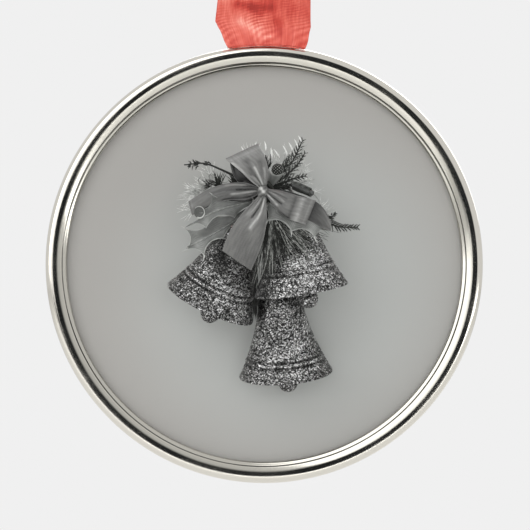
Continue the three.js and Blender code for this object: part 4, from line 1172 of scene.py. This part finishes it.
def needles(base, way, length, radius, bend, shade):
    """Many needles at once: from each base a taper runs its length along its way, moved by its bend times the
    square of the distance, with four square rings whose radius falls from full to a sixth."""
    t = np.array([0, 0.35, 0.7, 1.0])[None, :, None]
    way = unit(way)
    line = base[:, None] + way[:, None] * length[:, None, None] * t + bend[:, None] * t**2
    first = unit(np.cross(way, [0.21, 0.94, 0.11]))
    second = np.cross(way, first)
    width = radius[:, None] * np.array([0.8, 1.0, 0.75, 0.16])[None]
    a = np.radians([45, 135, 225, 315])
    ring = first[:, None, None] * np.cos(a)[:, None] + second[:, None, None] * np.sin(a)[:, None]
    points = line[:, :, None] + ring * width[:, :, None, None]
    k = len(base)
    i, j = np.meshgrid(np.arange(3), np.arange(4), indexing="ij")
    j2 = (j + 1) % 4
    quad = np.stack([i * 4 + j, i * 4 + j2, (i + 1) * 4 + j2, (i + 1) * 4 + j], -1).reshape(-1, 4)
    quad = np.concatenate([quad, [[3, 2, 1, 0], [12, 13, 14, 15]]])
    faces = (quad[None] + 16 * np.arange(k)[:, None, None]).reshape(-1, 4)
    tone = np.repeat(np.broadcast_to(shade, k), 16) + np.tile(np.repeat([0, 0.02, 0.08, 0.2], 4), k)
    return {"points": points.reshape(-1, 3), "faces": [faces], "shade": tone}


def fan(depth, middle, spread, count, at, length, radius, shade, bow=0.12):
    """A tuft: needles from about one point of [x, depth, z], their angles in the plane of the face drawn
    evenly within the spread about its middle, in degrees from +X, with a random lift towards the viewer and
    a random bow."""
    angle = np.radians(middle + rng.uniform(-spread, spread, count))
    way = np.stack([np.cos(angle), -rng.uniform(-0.25, 0.25, count), np.sin(angle)], -1)
    long = rng.uniform(*length, count)
    base = (np.array(at) + [0, depth, 0]) * [1, -1, 1] + rng.normal(0, 0.22, (count, 3))
    side = np.stack([-np.sin(angle), 0 * angle, np.cos(angle)], -1)
    side = side * rng.normal(0, bow, count)[:, None] * long[:, None]
    return needles(base, way, long, rng.uniform(0.7, 1.3, count) * radius, side, rng.uniform(*shade, count))


def cedar(depth, path, reach, pairs, shade, start=0.15):
    """A cedar twig: a stem along the path, and on both sides branchlets at 38 degrees, shorter towards the
    tip, each a row of overlapping scales. One call makes every scale as arrays over stem place, side and
    scale."""
    path = np.array(path) + [0, depth, 0]
    t = np.linspace(start, 0.99, pairs)
    p = curve(path, t) * [1, -1, 1]
    slope = unit(curve(path, np.minimum(t + 0.02, 1)) - curve(path, t - 0.02)) * [1, -1, 1]
    across = unit(np.cross(slope, [0, 1, 0]))
    sides = np.array([-1, 1])[None, :, None, None]
    scale = np.arange(7)[None, None, :, None]
    lean = np.radians(38 + rng.normal(0, 6, (pairs, 2)))[..., None, None]
    way = slope[:, None, None] * np.cos(lean) + sides * across[:, None, None] * np.sin(lean)
    way = unit(way + np.array([0, -1, 0]) * rng.normal(0.05, 0.15, (pairs, 2, 1, 1)))
    step = reach / 7 * (1 - 0.75 * t)[:, None, None, None]
    base = p[:, None, None] + way * step * scale
    fork = across[:, None, None] * ((scale % 2) - 0.5) * 0.9
    grow = unit(way + fork * 0.8)
    count = base[..., 0].size
    wide = np.broadcast_to(0.115 * (1 - 0.08 * scale), base.shape[:3] + (1,)).ravel()
    long = np.broadcast_to(step * 1.9 + 0.12, base.shape[:3] + (1,)).ravel()
    grow = np.broadcast_to(grow, base.shape).reshape(-1, 3)
    still = np.zeros((count, 3))
    scales = needles(base.reshape(-1, 3), grow, long, wide, still, rng.uniform(*shade, count))
    stem_line = curve(path, np.linspace(0, 1, 50)) * [1, -1, 1]
    return [scales, tube(stem_line, np.linspace(0.28, 0.09, 50), 8, side=(0, 1, 0), shade=0.12)]


def twig(depth, points, start, end):
    """A bare stem along the points, with depths from this one, that thins from start to end."""
    line = curve(np.array(points) + [0, depth, 0], np.linspace(0, 1, 60)) * [1, -1, 1]
    return tube(line, np.linspace(start, end, 60), 8, side=(0, 1, 0), shade=0.1)


def tape_middle(name):
    """The middle of a tape, in millimetres in front of the face: half the sum of its two ends."""
    low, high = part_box(name)
    return (-high.y / MM + -low.y / MM) / 2


rear = tape_middle("rear_tape")
middle = tape_middle("middle_tape")
fore = tape_middle("front_tape")

parts = []
for path, reach, pairs, shade in (
    ([[0.9, 0, 13.9], [3.2, 0.2, 15.6], [5.0, 0, 17.9], [6.5, -0.3, 21.0]], 2.3, 13, (0.02, 0.78)),
    ([[1.2, 0, 13.6], [3.9, 0.4, 15.2], [5.6, 0.3, 16.9], [6.9, 0, 18.9]], 1.8, 10, (0.02, 0.78)),
    ([[2.3, 0, 14.9], [3.5, 0.3, 16.6], [4.3, 0.2, 18.3]], 1.5, 8, (0.0, 0.75)),
    ([[1.3, 0.2, 13.2], [3.6, 0.5, 14.0], [5.2, 0.4, 14.6], [6.9, 0, 15.0]], 1.9, 9, (0.02, 0.6)),
    ([[1.3, 0.3, 12.9], [3.2, 0.6, 13.2], [4.8, 0.6, 13.4]], 1.4, 9, (0.0, 0.3)),
):
    parts += cedar(fore, path, reach, pairs, shade)
build("cedar_upper_right_scales", parts, needle, "medallion", ["cedar_upper_right"])

bough = [[1.4, 1.0, 11.6], [5.4, -0.3, 10.6], [9.6, -1.2, 8.2], [12.4, -1.4, 6.6], [16.0, -1.4, 6.4]]
parts = cedar(rear, bough, 2.6, 17, (0.0, 0.6), start=0.45)
parts += cedar(rear, [[9.6, -1.2, 8.2], [11.2, -1.2, 8.0], [12.2, -1.1, 8.7]], 1.2, 8, (0.1, 0.5))
build("cedar_right_scales", parts, needle, "medallion", ["cedar_right"])

bare = [[-1.6, 0.6, 13.6], [-4.6, 0.8, 14.9], [-7.4, 0.8, 16.2], [-10.0, 0.6, 17.2], [-13.6, 0.2, 17.0]]
parts = [twig(middle, bare, 0.26, 0.1)]
parts += [fan(middle, 190, 70, 16, [-11.2, 0.5, 17.3], (0.5, 1.1), 0.12, (0.02, 0.35))]
parts += [fan(middle, 195, 60, 10, [-12.4, 0.3, 17.1], (0.5, 1.0), 0.1, (0.02, 0.35))]
parts += [fan(middle, 160, 50, 8, [-9.6, 0.6, 17.0], (0.4, 0.8), 0.1, (0.05, 0.4))]
build("twig_left_bare", parts, needle, "medallion", ["twig_left"])

parts = [twig(middle, [[-2.0, 0, 12.9], [-5.0, 0.3, 13.4], [-8.2, 0.3, 13.7]], 0.24, 0.12)]
parts += [fan(middle, 115, 60, 34, [-7.6, 0.4, 13.5], (1.2, 2.8), 0.085, (0.0, 0.35))]
parts += [fan(middle, 150, 60, 20, [-9.2, 0.3, 13.5], (0.8, 2.0), 0.075, (0.05, 0.5))]
parts += [fan(middle, 80, 55, 26, [-5.2, 0.6, 13.8], (1.0, 2.4), 0.09, (0.0, 0.3))]
# Three of its tendrils curl round on themselves.
for x, z, r in ((-10.6, 14.3, 0.62), (-6.7, 14.5, 0.58), (-9.0, 15.0, 0.42)):
    a = np.linspace(0, 1.8 * np.pi, 48)
    ring = np.stack([x + r * np.cos(a + 2), -(middle + 0.9) - 0.05 * a, z + r * np.sin(a + 2)], -1)
    parts += [tube(ring, 0.1 - 0.01 * a, 8, side=(0, 1, 0), shade=0.75)]
build("fern_left_fronds", parts, needle, "medallion", ["fern_left"])

parts = [twig(middle, [[-0.2, 0.2, 14.2], [0.5, 0.6, 16.2], [0.2, 0.6, 18.6]], 0.22, 0.08)]
parts += [twig(middle, [[0.5, 0.6, 16.0], [1.0, 0.6, 17.4], [1.1, 0.5, 18.8]], 0.14, 0.06)]
parts += [fan(middle, 95, 40, 18, [0.5, 0.6, 16.4], (1.0, 2.4), 0.085, (0.0, 0.3))]
build("twig_top_forked", parts, needle, "medallion", ["twig_top"])

# Rime makes these needles pale and dull, thick in some places and thin in others.
frost, tree, shader = new_material("frosted_fir_needle", "#d5d6d2", 0.5, Sheen_Weight=0.2)
where = add(tree, "TexCoord").outputs["Object"]
rime = add(tree, "TexNoise", {"Scale": per_mm(0.7), "Detail": 3.0}, Vector=where)
shadow = add(tree, "Attribute", {"attribute_name": "shade"}).outputs["Fac"]
thick = add(tree, "MapRange", {1: 0.35, 2: 0.6, 3: -0.6, 4: 0.2}, s0=rime.outputs[0])
white = add(tree, "Math", {"operation": "ADD", "use_clamp": True}, s0=thick.outputs[0], s1=shadow)
pale = add(tree, "MixRGB", {1: linear("#9a9c98"), 2: linear("#f4f5f2")}, s0=white.outputs[0])
link(tree, pale.outputs[0], shader, "Base Color")


def frosted(spots, spread, length, radius):
    """Frosted tufts, one at each spot of x, z, the middle angle of its needles and their count."""
    tufts = []
    for x, z, tilt, count in spots:
        tufts.append(fan(rear, tilt, spread, count, [x, 0.5, z], length, radius, (0.4, 0.8), 0.16))
    return tufts


parts = [twig(rear, [[0.1, 0, 14.2], [-1.6, 0.4, 16.6], [-2.8, 0.4, 19.0]], 0.2, 0.08)]
parts += [twig(rear, [[0.4, 0, 14.3], [2.2, 0.4, 16.4], [4.2, 0.4, 18.6]], 0.2, 0.08)]
spots = [(-2.6, 18.4, 95, 9), (-1.4, 18.9, 92, 8), (0.8, 17.6, 88, 7)]
spots += [(2.2, 17.2, 84, 7), (3.6, 17.8, 80, 7), (5.0, 18.6, 74, 6)]
parts += frosted(spots, 20, (1.2, 2.8), 0.055)
# The longest needles of the top tuft are thick with frost, and bow to the left. Each has its foot in X and
# Z, its lean in degrees and its length.
longest = np.array([
    [-3.3, 18.9, 103, 1.4], [-1.1, 19.6, 98, 1.2], [0.3, 19.5, 86, 1.6],
    [1.3, 18.2, 84, 1.8], [2.6, 18.3, 112, 1.6], [4.0, 18.6, 104, 1.9],
    [5.0, 19.2, 105, 1.8], [5.9, 19.8, 103, 1.7], [6.4, 20.8, 99, 1.3],
])
lean = np.radians(longest[:, 2])
way = np.stack([np.cos(lean), -0.1 + 0 * lean, np.sin(lean)], -1)
foot = np.stack([longest[:, 0], -(rear + 1.2) + 0 * lean, longest[:, 1]], -1)
side = np.stack([-0.35 + 0 * lean, 0 * lean, 0 * lean], -1)
parts += [needles(foot, way, longest[:, 3], np.full(9, 0.19), side, 1.3)]
parts += [twig(rear, [[4.2, 0.4, 18.6], [5.6, 0.8, 18.7], [7.4, 1.0, 20.6]], 0.1, 0.05)]
build("frosted_needles_top_tuft", parts, frost, "medallion", ["frosted_needles_top"])

parts = [twig(rear, [[-2.0, 0, 12.2], [-7.0, 0.4, 12.2], [-12.0, 0.4, 12.2]], 0.2, 0.08)]
spots = [(-9.8, 13.2, 160, 30), (-11.2, 12.4, 175, 34), (-11.6, 11.4, 185, 26)]
spots += [(-12.0, 9.4, 200, 9), (-8.8, 15.0, 120, 12)]
parts += frosted(spots, 42, (1.4, 3.4), 0.07)
build("frosted_needles_left_tuft", parts, frost, "medallion", ["frosted_needles_left"])

parts = [twig(rear, [[1.5, 0, 13.0], [5.4, 0.4, 13.9], [8.6, 0.4, 14.6]], 0.2, 0.08)]
spots = [(6.2, 15.4, 40, 16), (6.6, 14.0, 15, 14), (6.2, 16.6, 55, 9)]
spots += [(8.2, 12.4, 10, 7), (9.4, 10.0, 25, 12), (10.0, 8.8, 15, 10)]
parts += frosted(spots, 34, (1.0, 2.4), 0.045)
parts += [twig(rear, [[5.4, 0.4, 13.9], [8.6, 0.4, 12.0], [10.6, 0.4, 8.4]], 0.14, 0.06)]
build("frosted_needles_right_tuft", parts, frost, "medallion", ["frosted_needles_right"])

# The needles in front droop over the right bell and stay clear of it however it swings: each point is as far
# forward as the bell's side at that distance from its peg.
peg = pegs["right"]


def strands(line, radius, tone):
    """Tapering needles along lines of many points: every stretch of every line is one needle of its own, a
    little longer than the stretch, so that they overlap into one long strand."""
    step = np.diff(line, axis=1)
    long = np.linalg.norm(step, axis=-1)
    t = np.linspace(0, 0.65, step.shape[1])[None, :]
    width = radius[:, None] * (1 - t)
    start = line[:, :-1].reshape(-1, 3)
    still = np.zeros((long.size, 3))
    tone = np.repeat(tone, step.shape[1])
    return needles(start, unit(step).reshape(-1, 3), long.ravel() * 1.35, width.ravel(), still, tone)


def drooping(count, middle, spread, reach, light):
    """Needles from the front tape over the right bell. Their angles are drawn about the middle within the
    spread, they bend a little either way, and this share of them is light."""
    angle = np.radians(middle + spread * np.sin(rng.uniform(-1.35, 1.35, count)))
    long = rng.uniform(*reach, count)
    t = np.linspace(0, 1, 9)[None, :]
    ahead = long[:, None] * t
    bend = rng.normal(0, 0.1, count)[:, None] * np.sin(2.2 * t + rng.uniform(0, 1, count)[:, None]) * ahead
    x = 1.35 + rng.normal(0, 0.5, (count, 1)) + np.cos(angle)[:, None] * ahead - np.sin(angle)[:, None] * bend
    z = 9.0 + rng.normal(0, 0.4, (count, 1)) + np.sin(angle)[:, None] * ahead + np.cos(angle)[:, None] * bend
    away = np.hypot(x - peg[0], z - peg[2])
    nod = np.radians(6)  # the right bell's own
    side_at = bell_side(np.clip(MOUTH_DROP - away / np.cos(nod), 0, TALL - SHOULDER))
    d = -peg[1] - away * np.sin(nod) + side_at + 0.5 + rng.uniform(0, 0.7, count)[:, None]
    d = np.minimum(d, LEAF_DEPTH + 0.2)
    is_light = rng.uniform(0, 1, count) < light
    tone = np.where(is_light, rng.uniform(0.5, 0.85, count), rng.uniform(0, 0.28, count))
    return strands(np.stack([x, -d, z], -1), rng.uniform(0.08, 0.15, count), tone)


tuft = [
    drooping(150, -70, 28, (5, 10.6), 0.33),
    drooping(80, -97, 9, (6, 12.4), 0.2),
    drooping(110, -36, 20, (5, 10.5), 0.45),
    drooping(190, -60, 42, (2.5, 6.5), 0.05),
]
# A few long dark strands hang behind the bells, from the rear tape down over the face.
count = 70
t = np.linspace(0, 1, 12)[None, :]
sway = rng.normal(0, 0.36, (count, 1))
x = -0.5 - 1.3 * ease(t * 2) + sway * t + 0.15 * np.sin(7 * t + 3 * sway)
d = rear - 1.2 - (rear - 3.2) * ease(t * 2.2) + 0.35 * sway
z = 11.0 - rng.uniform(17, 20.5, (count, 1)) * t
tuft.append(strands(np.stack([x, -d, z], -1), np.full(count, 0.17), rng.uniform(0, 0.2, count)))
stem = twig(fore, [[0.9, 1.2, 11.2], [1.1, 2.0, 10.2], [1.4, 2.4, 8.8]], 0.3, 0.2)
build("front_needles_tuft", tuft + [stem], needle, "medallion", ["front_needles"])

low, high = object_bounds()
